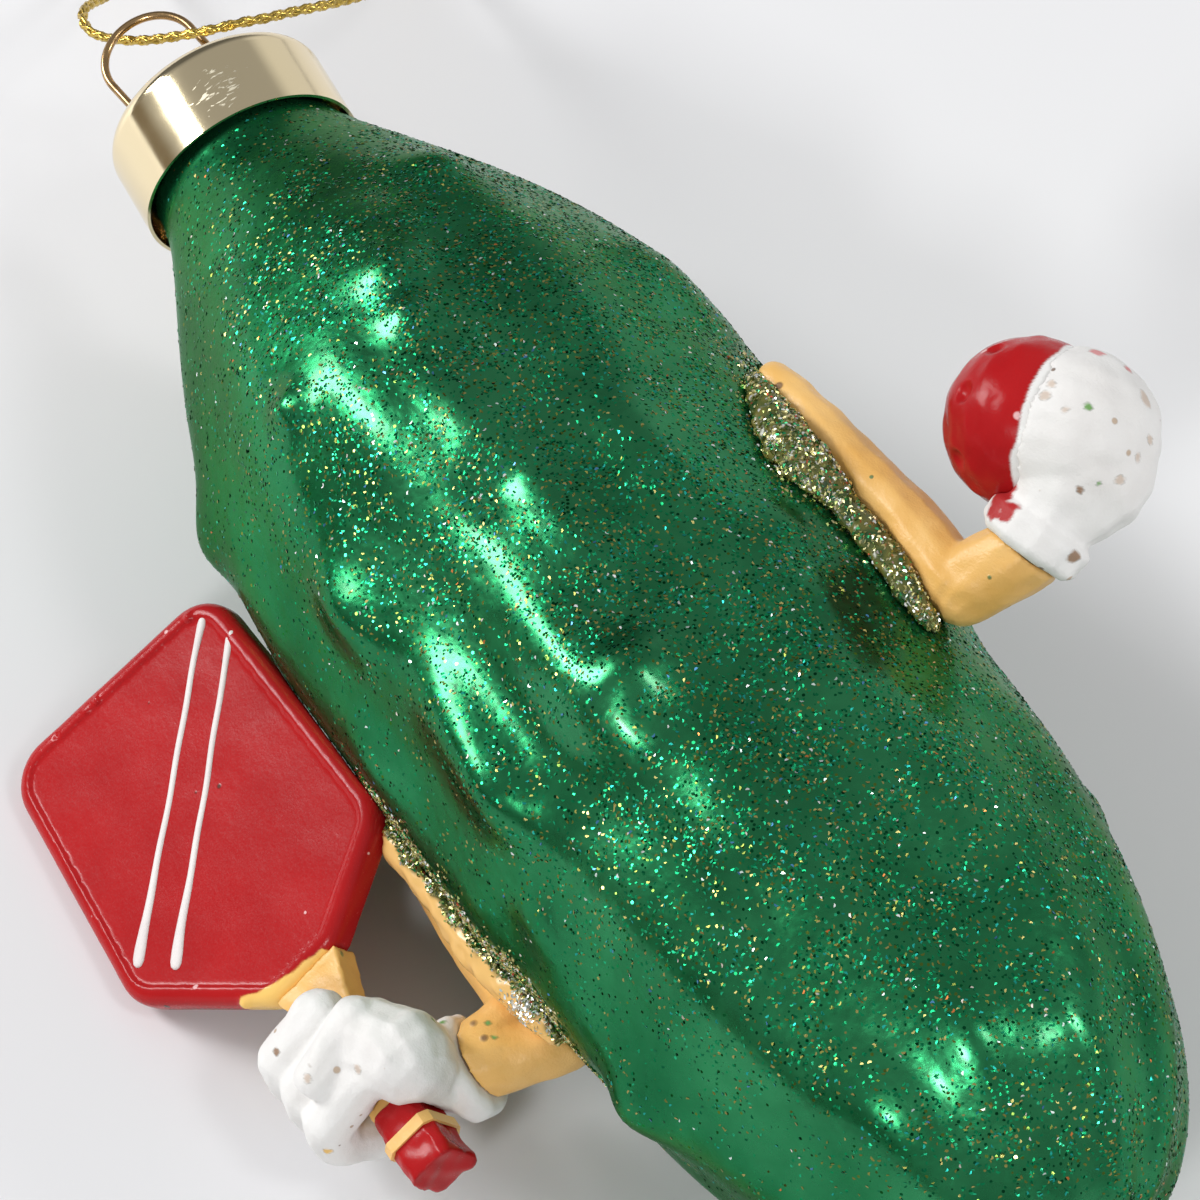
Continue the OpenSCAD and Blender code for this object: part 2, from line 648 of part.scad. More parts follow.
// Thumb: place across, place in front of the palm, distance down, radius
thumb_stops = [[palm_x - 1, -2, 4.6, 2.1], [-2.5, -2.6, 6.4, 2]];
finger_path = [[0, -1.2], [-1.9, -0.9], [-2.4, 0], [-1.7, 1.05]];
finger_shrink = 0.06;
function on_handle(x, y, down) = on_paddle([handle_x + x, y, fist_top - down]);
module fist() {
    chain([for (q = palm_stops) [on_handle(palm_x + q[0], palm_front, q[1]), q[2], 1]]);
    for (k = [0 : 2])
        chain([for (p = finger_path)
            [on_handle(p[0] * finger_reach, p[1] * finger_wrap, first_finger + k * finger_pitch),
                finger_r * (1 - finger_shrink * k), 1]]);
    chain([for (q = thumb_stops) [on_handle(q[0], palm_front + q[1], q[2]), q[3], 1]]);
    hull() {
        translate(on_handle(palm_x, palm_front, palm_end[1])) sphere(palm_end[2], $fn = soft_fn);
        at_wrist(PADDLE) translate([0, 0, cuff_t - cuff_step]) cylinder(d = cuff_d - 2, h = cuff_step,
            $fn = soft_fn);
    }
}
module paddle_glove() {
    color("whitesmoke") lay() difference() {
        union() {
            fist();
            cuff(PADDLE);
        }
        handle_solid(seat_gap);
        butt_solid(seat_gap);
        blade_solid(seat_gap);
        body_cut(seat_gap + 0.4);
    }
}

// Ball and the hand that cups it, out beyond the cuff
ball_at = elbow_at - ball_up;
ball_depth = -2.5;
ball_mid = at(ball_at, profile(ball_at) + ball_out, ball_depth);
// The hand's middle, below the ball's, further out and behind it
hand_mid = ball_mid + at(3.3, 2, 0.4);
dimples = [[-60, 42], [-26, 16], [-49, 2], [-102, 26], [-82, -17], [-112, -28], [-145, 44],
    [-142, 2], [178, 28], [168, -14], [30, 44], [90, 60], [135, 18], [120, -24]];
dimple_sink = 0.55;
module ball() {
    color("crimson") lay() translate(ball_mid) difference() {
        sphere(d = ball_d, $fn = round_fn);
        for (q = dimples)
            rotate([0, -q[1], q[0]]) translate([ball_d / 2 + dimple_d / 2 - dimple_sink, 0, 0])
                sphere(d = dimple_d, $fn = 24);
    }
}
heel_share = 0.86;
module ball_glove() {
    color("whitesmoke") lay() difference() {
        union() {
            translate(hand_mid) sphere(d = hand_d, $fn = 40);
            hull() {
                translate(hand_mid + at(2.2, -1.2, 0.4)) sphere(d = hand_d * heel_share, $fn = 24);
                at_wrist(BALL) translate([0, 0, cuff_t - cuff_step])
                    cylinder(d = cuff_d - 2, h = cuff_step, $fn = soft_fn);
            }
            cuff(BALL);
        }
        translate(ball_mid) sphere(d = ball_d + 2 * seat_gap, $fn = round_fn);
    }
}

glass_body();
cap();
hanger_wire();
hanging_cord();
cord_knot();
paddle_arm();
paddle_arm_glue();
paddle_glove();
paddle_blade();
paddle_stripes();
paddle_handle();
handle_butt();
butt_band();
ball_arm();
ball_arm_glue();
ball_glove();
ball();
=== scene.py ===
"""Glass pickle ornament on a pale table: green glass, glitter, painted castings, cap, wire and thread."""

import math

import bmesh
import bpy
import numpy as np
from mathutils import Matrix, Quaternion, Vector


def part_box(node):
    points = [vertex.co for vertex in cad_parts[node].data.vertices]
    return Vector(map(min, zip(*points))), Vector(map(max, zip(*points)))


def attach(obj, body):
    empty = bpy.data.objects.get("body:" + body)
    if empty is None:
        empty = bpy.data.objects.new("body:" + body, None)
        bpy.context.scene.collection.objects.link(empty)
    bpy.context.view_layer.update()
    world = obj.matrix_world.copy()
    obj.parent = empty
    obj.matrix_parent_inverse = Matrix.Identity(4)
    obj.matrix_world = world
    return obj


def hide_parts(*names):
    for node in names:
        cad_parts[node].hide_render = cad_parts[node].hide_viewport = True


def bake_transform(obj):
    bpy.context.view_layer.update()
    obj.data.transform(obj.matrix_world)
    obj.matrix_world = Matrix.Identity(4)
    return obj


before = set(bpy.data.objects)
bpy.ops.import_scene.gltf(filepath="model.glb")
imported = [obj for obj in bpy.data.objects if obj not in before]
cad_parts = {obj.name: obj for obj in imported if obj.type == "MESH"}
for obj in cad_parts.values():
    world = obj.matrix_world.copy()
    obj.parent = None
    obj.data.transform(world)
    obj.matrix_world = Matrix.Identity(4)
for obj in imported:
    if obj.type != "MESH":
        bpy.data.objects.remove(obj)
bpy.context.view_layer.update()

bl_info = {
    "name": "Pickle Ornament",
    "version": (1, 0, 0),
    "blender": (4, 5, 0),
    "location": "View3D > Sidebar > Ornament",
    "description": "Dresses a lying glass pickle ornament and sets its table, light and camera",
    "category": "Object",
}

MM = 0.001
WAVE_COUNT = 14

# Shape of the glass, in millimetres along its axis from the cap's rim and round it
NECK_R = 9.0
BELLY_R = 25.1
END_R = 24.1
NECK_LEN = 8.5
SHOULDER_LEN = 47.0
BELLY_LEN = 30.0
WAIST_LEN = 9.0
END_LEN = 47.5
WALL = 1.2
LOBE_COUNT = 10
LOBE_H = 0.35
WART_H = 1.5
SHOULDER_POWER = 0.98
FLARE_SOFT = 2.2
FLARE_END = 40
END_POWER = 2.1
WAIST_AT = SHOULDER_LEN + BELLY_LEN
END_AT = WAIST_AT + WAIST_LEN
BODY_LEN = END_AT + END_LEN

# How the ornament lies: its cap rim's place, and its roll from the paddle to the ball
PLACE = (-54.835, 3.7, BELLY_R)
ROLL = math.radians(36)

# Warts and ridges: distance from the rim, angle from the ball's side over the front,
# share of the full height, half length along the body, half width round it
FRONT_WARTS = (
    (20, 32, 1.0, 4, 3), (25.5, 55, 0.5, 5, 4), (31, 63, 0.8, 3.5, 3), (37, 67, 0.7, 2.2, 2.2),
    (36, 98, 0.9, 2.2, 2.2), (42, 87, 0.9, 14, 4.4), (66, 86, 0.35, 6, 4.2), (73, 85.5, 0.8, 6, 4.2),
    (79.5, 84.5, 1.2, 5, 4), (50, 70, 0.5, 6, 2.6), (63, 67, 0.55, 6, 2.6), (56.5, 75, -0.5, 3, 2.6),
    (78, 74, 1.0, 3, 2.8), (53.5, 115, 1.0, 4.5, 2.6), (66, 109, 0.5, 5, 3.2), (71.5, 110, 0.9, 5, 3.2),
    (77, 111, 1.3, 4.5, 3.2), (72, 28, 0.8, 3, 2.6), (31, 151, 1.2, 4, 4), (101, 146, 1.2, 3.5, 3.6),
    (60, 47, 0.7, 7, 3), (88, 46, 0.6, 7, 3.4), (95, 82, 0.6, 8, 3.6), (86, 128, 0.8, 4, 3),
    (107, 53, -0.5, 6, 9), (119.5, 93, 0.8, 5, 3.4), (119, 63, 0.8, 5, 3.4), (122, 44, 0.8, 5, 3.4),
    (40, 10, 0.9, 6, 4), (62, 137, 0.7, 5, 3),
)
BACK_WARTS = tuple((s, a, 0.9, 4, 3) for s, a in (
    (26, 300), (40, 330), (44, 205), (52, 275), (66, 315), (72, 262), (84, 290), (92, 205), (98, 325),
    (108, 270)))

# Where the glass is smooth: under the two arms and along the line that it lies on
SEAT_RUN = 5.0
ELBOW_AT = 84.5
BALL_SEAT_AT = 46.0
PADDLE_SEAT_AT = 39.95
SEAT_ANGLE = 6.0
SEAT_HALF = 20.0
SEAT_FADE = 10.0
FLOOR_ANGLE = 234.0
FLOOR_HALF = 12.0
FLOOR_FADE = 16.0

# Paddle: its middle in the ornament's own axes, its tilt, the depth of its face, and its stripes,
# each from its upper to its lower end, with half widths along it
PADDLE_MID = (-37.6, -8.296, 49.5)
PADDLE_TILT = math.radians(4)
FACE_DEPTH = -1.55
STRIPES = (((11.27, 15.24), (-12.34, -6.19)), ((12.83, 11.93), (-9.5, -9.16)))
STRIPE_WIDTHS = ((0, 0.12), (0.006, 0.36), (0.022, 0.45), (0.06, 0.38), (0.1, 0.33), (0.5, 0.31),
                 (0.72, 0.35), (0.86, 0.46), (0.95, 0.62), (0.98, 0.6), (0.995, 0.42), (1, 0.15))
STRIPE_H = 0.22

# Edge of the yellow paint on the paddle's lower end: place across and place along
THROAT_EDGE = ((-6.9, -5.6, -4.1, -2.6, 0.6, 3.0, 3.9), (-16.6, -16.3, -17.1, -17.6, -18.3, -18.6, -20.0))

# Middle of the hand that holds the ball, in the ornament's own axes, its radius, and how far from it
# the ball's dimples are filled and the white paint reaches
HAND_MID = (42.5, -2.1, 79.6)
HAND_R = 7.4
FILL_REACH = 1.3
FILL_FADE = 0.8
WHITE_REACH = 0.12
WHITE_WAVE = 0.06
WHITE_FADE = 0.1

# Loose glitter: angle where it is thickest, how far round it reaches and fades, its least share, and
# its share on the very tip
GLITTER_MIDDLE = 18
GLITTER_HALF = 118
GLITTER_FADE = 62
GLITTER_LEAST = 0.16
TIP_GLITTER = 0.3

# Edge of the glitter glue on the glass beside each arm: distance from the rim and angle
BALL_GLUE_EDGE = ((48, 51.4, 57.4, 63.1, 67.3, 69.3, 71.5, 74.5, 78.3, 80.5, 83, 85),
                  (-14, 5, 14.5, 20.5, 23, 20.5, 15, 17, 16.5, 10.5, 1, -14))
PADDLE_GLUE_EDGE = ((57, 60, 64, 73, 84, 90, 94), (168, 149, 146, 148, 148, 150, 168))

# Marks on the castings: place in millimetres, reach and colour
RED_MARK = (0.42, 0.012, 0.014)
PINK_MARK = (0.70, 0.28, 0.28)
BROWN_MARK = (0.30, 0.19, 0.12)
TAN_MARK = (0.62, 0.52, 0.44)
GREEN_MARK = (0.16, 0.36, 0.10)
YELLOW_MARK = (0.88, 0.56, 0.16)
BALL_GLOVE_MARKS = (
    ((27.2, 27.4, 51.3), 1.2, RED_MARK), ((28.2, 27.6, 52.1), 1.1, RED_MARK),
    ((26.4, 28.4, 51.4), 1.4, RED_MARK), ((26.0, 29.2, 52.0), 1.2, RED_MARK),
    ((22.1, 40.8, 57.4), 0.8, PINK_MARK), ((24.7, 41.9, 57.1), 0.45, PINK_MARK),
    ((34.0, 30.6, 49.9), 0.75, BROWN_MARK), ((27.7, 41.7, 56.5), 0.9, TAN_MARK),
    ((27.0, 36.2, 58.8), 0.42, GREEN_MARK), ((24.0, 34.0, 58.5), 0.55, TAN_MARK),
    ((23.5, 35.0, 58.8), 0.45, TAN_MARK), ((26.2, 34.5, 58.3), 0.5, TAN_MARK),
    ((31.1, 32.8, 54.4), 0.4, BROWN_MARK), ((32.1, 36.1, 54.5), 0.5, TAN_MARK),
    ((31.6, 38.6, 55.0), 0.6, TAN_MARK), ((30.6, 40.4, 55.0), 0.5, TAN_MARK),
    ((31.4, 34.4, 54.6), 0.35, GREEN_MARK))
PADDLE_GLOVE_MARKS = (
    ((19.6, -39.2, 13.4), 0.42, BROWN_MARK), ((24.8, -39.2, 16.5), 0.5, TAN_MARK),
    ((27.0, -35.6, 17.7), 0.55, TAN_MARK), ((28.6, -39.7, 10.2), 0.5, YELLOW_MARK),
    ((27.0, -27.9, 19.1), 0.3, GREEN_MARK), ((25.6, -26.3, 15.0), 0.35, GREEN_MARK),
    ((24.0, -38.3, 16.6), 0.3, BROWN_MARK), ((27.7, -34.4, 17.9), 0.35, BROWN_MARK),
    ((22.4, -33.4, 17.6), 0.35, TAN_MARK))
PADDLE_SLEEVE_MARKS = (((28.1, -23.3, 15.7), 0.28, GREEN_MARK), ((29.6, -23.6, 15.7), 0.26, GREEN_MARK))
SPOT_RAGGED = 0.13
SPOT_FADE = 0.25

# Middle of the scuffs on the cap, in metres
CAP_SCUFF = (-0.0585, 0.002, 0.0359)
WORN_GOLD = (0.94, 0.88, 0.70, 1)

# Glitter: clumps per metre, and edges and colours of the bands that flakes are tinted by
FLAKE_CLUMPS = 210.0
GLUE_CLUMPS = 60.0
FINE_TINTS = ((0, (0.003, 0.075, 0.026)), (0.42, (0.012, 0.24, 0.09)), (0.68, (0.10, 0.17, 0.03)),
              (0.84, (0.03, 0.42, 0.20)), (0.95, (0.34, 0.32, 0.10)))
GREEN_TINTS = ((0, (0.008, 0.26, 0.10)), (0.45, (0.005, 0.15, 0.06)), (0.72, (0.02, 0.42, 0.20)),
               (0.90, (0.02, 0.36, 0.30)), (0.985, (0.08, 0.24, 0.45)))
GOLD_TINTS = ((0, (0.24, 0.24, 0.06)), (0.4, (0.16, 0.20, 0.04)), (0.7, (0.40, 0.35, 0.12)),
              (0.98, (0.60, 0.20, 0.06)))
SILVER_TINTS = ((0, (0.82, 0.84, 0.84)), (0.5, (0.72, 0.84, 0.80)), (0.8, (0.86, 0.80, 0.72)))
GLUE_TINTS = ((0, (0.62, 0.57, 0.24)), (0.24, (0.44, 0.52, 0.18)), (0.40, (0.88, 0.90, 0.86)),
              (0.60, (0.04, 0.34, 0.14)), (0.77, (0.75, 0.68, 0.36)), (0.985, (0.60, 0.10, 0.06)))

# Silver clumps in the glue: middle for each side and reach, in metres
GLUE_CLUMP_MID = {"ball": (0.0127, 0.0204, 0.0444), "paddle": (0.0300, -0.0208, 0.0188)}
GLUE_CLUMP_R = 0.0016

# Gold thread, from its knot through the wire loop and back, in metres
THREAD_ROUTE = (
    (-0.117, 0.0215, 0.0008), (-0.110, 0.019, 0.0012), (-0.1035, 0.0157, 0.0036),
    (-0.0975, 0.0121, 0.0076), (-0.0925, 0.0083, 0.0124), (-0.089, 0.0049, 0.0166),
    (-0.0868, 0.0029, 0.019), (-0.0848, 0.0017, 0.0202), (-0.0829, 0.0013, 0.0208),
    (-0.0809, 0.0016, 0.0216), (-0.0784, 0.0027, 0.0228), (-0.0761, 0.004, 0.0242),
    (-0.0741, 0.0053, 0.0257), (-0.0721, 0.007, 0.0272), (-0.0706, 0.0089, 0.0282),
    (-0.0701, 0.0111, 0.0281), (-0.0702, 0.0135, 0.0271), (-0.0707, 0.0171, 0.0254),
    (-0.0716, 0.0219, 0.0228), (-0.074, 0.0275, 0.0186), (-0.078, 0.0331, 0.0134),
    (-0.084, 0.0377, 0.0082), (-0.092, 0.0405, 0.004), (-0.100, 0.0399, 0.0016),
    (-0.1075, 0.0365, 0.0008), (-0.1132, 0.0309, 0.0008), (-0.1164, 0.0247, 0.0008),
)

# Braid: strands each way round, their radius and their rise and fall as shares of the thickness
STRANDS = 2
STRAND_SHARE = 0.23
WEAVE_SHARE = 0.06

# Camera: what it looks at, how far away, and from which side and height
CAMERA_TARGET = (0.002865, 0.0042, 0.0268)
CAMERA_AWAY = 0.470
CAMERA_AZIMUTH = math.radians(57.3)
CAMERA_HEIGHT = math.radians(55)
CAMERA_LENS = 162.1

# Soft lights: way to each from the ornament, distance and size in metres, the setting with its watts, roll
SOFT_LIGHTS = (
    ("key_softbox", (-0.715, -0.51, 0.485), 1.20, (0.28, 0.69), "key", math.radians(-36)),
    ("front_light", (0.47, -0.62, 0.63), 1.50, (0.19, 0.19), "front", 0.0),
    ("top_softbox", (0.50, 0.22, 0.84), 1.50, (0.26, 0.26), "top", 0.0),
    ("fill_softbox", (0.40, 0.72, 0.56), 1.50, (0.26, 0.26), "fill", 0.0),
)

# Surround: the walls, the pale patch behind and the way to it, the far end and the dark stretch
WALL_GREY = (0.42, 0.42, 0.42, 1)
PALE_PATCH = (0.8, 0.8, 0.8, 1)
PATCH_WAY = (-0.48, 0.85, 0.22)
FAR_GREY = (0.14, 0.14, 0.14, 1)
LOW_DARK = (0.22, 0.18, 0.13, 1)
TABLE_HALF = 3.0


def colour(name, description, default):
    """A colour setting."""
    return bpy.props.FloatVectorProperty(name=name, description=description, subtype="COLOR", size=4,
                                         default=(*default, 1), min=0, max=1)


def distance(name, description, default, least):
    """A setting in metres."""
    return bpy.props.FloatProperty(name=name, description=description, subtype="DISTANCE", unit="LENGTH",
                                   default=default, min=least)


def angle(name, description, degrees):
    """A setting that is an angle."""
    return bpy.props.FloatProperty(name=name, description=description, subtype="ANGLE", unit="ROTATION",
                                   default=math.radians(degrees), min=0)


def amount(name, description, default):
    """A setting that is a plain number."""
    return bpy.props.FloatProperty(name=name, description=description, default=default, min=0)


def count(name, description, default):
    """A setting that is a count of faces."""
    return bpy.props.IntProperty(name=name, description=description, default=default, min=64)


class GlassSettings(bpy.types.PropertyGroup):
    """Green lacquered glass"""
    sides: count("Sides", "Faces round the body", 288)
    rings: count("Rings", "Faces along the body", 290)
    colour: colour("Lacquer", "Colour of the lacquer over the silvering", (0.028, 0.25, 0.095))
    deep: colour("Deep lacquer", "Colour where the lacquer is thicker", (0.006, 0.145, 0.048))


class GlitterSettings(bpy.types.PropertyGroup):
    """Flakes on the glass and in the glue"""
    radius: distance("Flake radius", "Half the width of a six-sided flake", 0.00019, 0.00005)
    thickness: distance("Flake thickness", "Thickness of a flake", 0.00004, 0.00001)
    glass_tilt: angle("Tilt on the glass", "How far flakes lean on the glass", 20)
    glue_tilt: angle("Tilt in the glue", "How far flakes lean in the glue", 48)
    green: amount("Green flakes", "Green flakes per square metre", 1.9e6)
    gold: amount("Gold flakes", "Gold flakes per square metre", 1.3e6)
    silver: amount("Silver flakes", "Silver flakes per square metre", 1.2e5)
    glue: amount("Flakes in glue", "Flakes per square metre of glue", 2.2e7)


class PaintSettings(bpy.types.PropertyGroup):
    """Hand paint on the castings"""
    red: colour("Red", "Paddle and ball", (0.43, 0.011, 0.013))
    yellow: colour("Yellow", "Sleeves, throat and band", (0.86, 0.53, 0.18))
    white: colour("White", "Gloves and stripes", (0.82, 0.815, 0.80))
    grain: distance("Casting grain", "Edge of the cells that smooth the castings", 0.00024, 0.0001)


class MetalSettings(bpy.types.PropertyGroup):
    """Cap, wire and thread"""
    cap: colour("Cap", "Gold-coloured sheet", (0.86, 0.73, 0.48))
    wire: colour("Wire", "Copper-coloured spring wire", (0.48, 0.31, 0.15))
    thread: colour("Thread", "Metallic thread", (0.70, 0.49, 0.11))
    thread_d: distance("Thread thickness", "Outer diameter of the thread", 0.0011, 0.0003)
    lay: distance("Braid length", "Length of one turn of a strand", 0.0039, 0.001)


class StageSettings(bpy.types.PropertyGroup):
    """Table, light and camera"""
    table: colour("Table", "Colour of the table", (0.80, 0.80, 0.81))
    key: amount("Key light", "Watts of the left softbox", 10.5)
    front: amount("Front light", "Watts of the small front light", 6.5)
    top: amount("Top light", "Watts of the softbox above", 3.0)
    fill: amount("Fill light", "Watts of the right softbox", 5.0)
    sky: amount("Surround", "Brightness of the surround", 0.92)


# Frames and noise


def lay(x, y, s):
    """A place in the ornament's own axes (towards the ball, to the back, from the rim), in metres."""
    x, y, s = (np.asarray(v, float) for v in np.broadcast_arrays(x, y, s))
    c, n = math.cos(ROLL), math.sin(ROLL)
    return np.stack([s + PLACE[0], x * c + y * n + PLACE[1], x * n - y * c + PLACE[2]], -1) * MM


def on_paddle(x, depth, up):
    """A place on the paddle (across, to the back, towards its top), in metres."""
    c, n = math.cos(PADDLE_TILT), math.sin(PADDLE_TILT)
    depth, up = np.asarray(depth, float), np.asarray(up, float)
    return lay(PADDLE_MID[0] + np.asarray(x, float), PADDLE_MID[1] + depth * c + up * n,
               PADDLE_MID[2] - up * c + depth * n)


def from_paddle(points):
    """Across, depth and height on the paddle of places in metres, in millimetres."""
    y, z = points[:, 1] / MM - PLACE[1], points[:, 2] / MM - PLACE[2]
    c, n = math.cos(ROLL), math.sin(ROLL)
    x = y * c + z * n - PADDLE_MID[0]
    y, s = y * n - z * c - PADDLE_MID[1], points[:, 0] / MM - PLACE[0] - PADDLE_MID[2]
    c, n = math.cos(PADDLE_TILT), math.sin(PADDLE_TILT)
    return x, y * c + s * n, y * n - s * c


def smooth(t):
    """Smooth step from 0 to 1."""
    t = np.clip(t, 0, 1)
    return t * t * (3 - 2 * t)


def wrap(a):
    """An angle in degrees, from -180 to 180."""
    return a - 360 * np.round(a / 360)


def waves(points, size, seed):
    """Soft noise from a few seeded waves, about -1 to 1, at places in metres and a size in metres."""
    rng = np.random.default_rng(seed)
    total = np.zeros(len(points))
    for _ in range(WAVE_COUNT):
        way = rng.normal(size=3)
        way /= np.linalg.norm(way)
        total += np.sin(points @ way * (2 * math.pi / size) * rng.uniform(0.6, 1.6)
                        + rng.uniform(0, 2 * math.pi))
    return total / math.sqrt(WAVE_COUNT)


# Meshes


def new_object(name, data):
    """Links a mesh, curve, light or camera as an object at the origin."""
    obj = bpy.data.objects.new(name, data)
    bpy.context.scene.collection.objects.link(obj)
    return obj


def mesh_from(name, points, faces):
    """A smooth-shaded mesh from points and faces."""
    mesh = bpy.data.meshes.new(name)
    mesh.from_pydata([tuple(p) for p in points], [], faces)
    mesh.shade_smooth()
    mesh.update()
    return mesh


def triples(source, key):
    """Three numbers for each item of a mesh's list, as an array."""
    values = np.zeros(len(source) * 3, np.float32)
    source.foreach_get(key, values)
    return values.reshape(-1, 3).astype(float)


def read_points(mesh):
    """A mesh's points as an array."""
    return triples(mesh.vertices, "co")


def write_points(mesh, points):
    """Moves a mesh's points."""
    mesh.vertices.foreach_set("co", points.astype(np.float32).ravel())
    mesh.update()


def keep_attribute(mesh, name, values):
    """Stores one number for each point."""
    attribute = mesh.attributes.new(name, "FLOAT", "POINT")
    attribute.data.foreach_set("value", np.asarray(values, np.float32))


def paint_marks(obj, shares):
    """Stores other paint on a casting: pairs of a share for each point and a colour, the last on top."""
    count = len(obj.data.vertices)
    colour, total = np.zeros((count, 4)), np.zeros(count)
    colour[:, 3] = 1
    for share, tint in shares:
        keep = np.where(total + share > 0, share / np.maximum(1e-6, np.maximum(share, total)), 0)[:, None]
        colour[:, :3] = colour[:, :3] * (1 - keep) + np.array(tint) * keep
        total = np.maximum(total, share)
    keep_attribute(obj.data, "mark_share", total)
    tints = obj.data.attributes.new("mark_colour", "FLOAT_COLOR", "POINT")
    tints.data.foreach_set("color", colour.astype(np.float32).ravel())


def spots(obj, marks, seed):
    """Shares and colours of ragged spots round places in millimetres."""
    points = read_points(obj.data)
    ragged = SPOT_RAGGED * waves(points, 0.0011, seed)
    shares = []
    for at, reach, tint in marks:
        away = np.linalg.norm(points - np.array(at) * MM, axis=1) / (reach * MM)
        shares.append((np.clip((1 + ragged - away) / SPOT_FADE, 0, 1), tint))
    return shares


def baked(obj):
    """Turns an object with its modifiers into a plain mesh."""
    bpy.context.view_layer.update()
    graph = bpy.context.evaluated_depsgraph_get()
    mesh = bpy.data.meshes.new_from_object(obj.evaluated_get(graph))
    name = obj.name
    bpy.data.objects.remove(obj)
    mesh.name = name
    return new_object(name, mesh)


def casting(node, name, voxel, rounds):
    """A softened copy of a solid, as poured resin or glue has it."""
    bm = bmesh.new()
    bm.from_mesh(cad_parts[node].data)
    bmesh.ops.remove_doubles(bm, verts=bm.verts, dist=1e-6)
    mesh = bpy.data.meshes.new(name)
    bm.to_mesh(mesh)
    bm.free()
    obj = new_object(name, mesh)
    cells = obj.modifiers.new("Cells", "REMESH")
    cells.mode = "VOXEL"
    cells.voxel_size = voxel
    soften = obj.modifiers.new("Soften", "SMOOTH")
    soften.factor = 0.5
    soften.iterations = rounds
    obj = baked(obj)
    obj.data.shade_smooth()
    return obj


def push_out(obj, amount):
    """Moves a surface along its normals by an amount that depends on the place."""
    points, normals = read_points(obj.data), triples(obj.data.vertex_normals, "vector")
    write_points(obj.data, points + normals * amount(points)[:, None])


def swell(obj, bumps):
    """Pushes a surface out, or in, round places: middle in metres, reach and height in millimetres."""
    def amount(points):
        push = np.zeros(len(points))
        for middle, reach, height in bumps:
            d = np.linalg.norm(points - np.asarray(middle), axis=1) / (reach * MM)
            push += height * MM * np.exp(-d * d)
        return push
    push_out(obj, amount)


def uneven(obj, height, size, seed):
    """Gives a surface the slight waviness of a hand-finished casting."""
    push_out(obj, lambda points: height * MM * waves(points, size * MM, seed))


def coat_with(obj, material):
    """Gives an object one finish."""
    obj.data.materials.clear()
    obj.data.materials.append(material)


def refinish(node, material):
    """Gives a solid that shows as it is its finish."""
    coat_with(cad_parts[node], material)


def dress(obj, body, slot, material, *nodes):
    """Gives a piece its finish and body, and hides the solids that it stands for."""
    coat_with(obj, material)
    if body:
        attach(obj, body)
    if nodes:
        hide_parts(*nodes)


# Node trees


def feed(tree, node, feeds):
    """Sets a node's inputs from values or from other nodes' sockets."""
    for key, value in feeds.items():
        if isinstance(value, bpy.types.NodeSocket):
            tree.links.new(value, node.inputs[key])
        else:
            node.inputs[key].default_value = value


def add(tree, kind, settings=None, feeds=None):
    """A node with its settings, fed by values or by other nodes' sockets."""
    made = tree.nodes.new(kind)
    for key, value in (settings or {}).items():
        setattr(made, key, value)
    feed(tree, made, feeds or {})
    return made


def maths(tree, operation, first, second, clamp=False):
    """The result of one sum."""
    return add(tree, "ShaderNodeMath", {"operation": operation, "use_clamp": clamp},
               {0: first, 1: second}).outputs[0]


def times(tree, first, second, clamp=False):
    """One value times another."""
    return maths(tree, "MULTIPLY", first, second, clamp)


def vector(tree, operation, feeds, output="Vector"):
    """The result of one sum with vectors."""
    return add(tree, "ShaderNodeVectorMath", {"operation": operation}, feeds).outputs[output]


def remap(tree, value, low, high, to_low=0.0, to_high=1.0):
    """A value spread from one range to another, held at its ends."""
    return add(tree, "ShaderNodeMapRange", {"clamp": True},
               {0: value, 1: low, 2: high, 3: to_low, 4: to_high}).outputs[0]


def blended(tree, share, first, second):
    """A colour between two colours."""
    return add(tree, "ShaderNodeMix", {"data_type": "RGBA"}, {0: share, 6: first, 7: second}).outputs[2]


def attribute(tree, name, output="Fac"):
    """What the mesh keeps for each point under a name."""
    return add(tree, "ShaderNodeAttribute", {"attribute_name": name}).outputs[output]


def noise(tree, vector, scale, detail=2.0, roughness=0.5):
    """Noise of a given scale, as a value."""
    return add(tree, "ShaderNodeTexNoise", None,
               {"Vector": vector, "Scale": scale, "Detail": detail, "Roughness": roughness}).outputs[0]


def grow(obj, tree, values):
    """Runs a geometry tree on an object and keeps the result as a plain mesh."""
    modifier = obj.modifiers.new(tree.name, "NODES")
    modifier.node_group = tree
    for item in tree.interface.items_tree:
        if item.item_type == "SOCKET" and item.in_out == "INPUT" and item.name in values:
            modifier[item.identifier] = values[item.name]
    return baked(obj)


def group_tree(name, kind, inputs, outputs):
    """An empty node group with named inputs and outputs."""
    tree = bpy.data.node_groups.new(name, kind)
    for way, labels in (("INPUT", inputs), ("OUTPUT", outputs)):
        for label, socket in labels:
            tree.interface.new_socket(label, in_out=way, socket_type="NodeSocket" + socket)
    return tree, tree.nodes.new("NodeGroupInput").outputs, tree.nodes.new("NodeGroupOutput").inputs


def geometry_tree(name, inputs):
    """An empty geometry tree with named inputs."""
    shape = (("Geometry", "Geometry"),)
    return group_tree(name, "GeometryNodeTree", shape + inputs, shape)


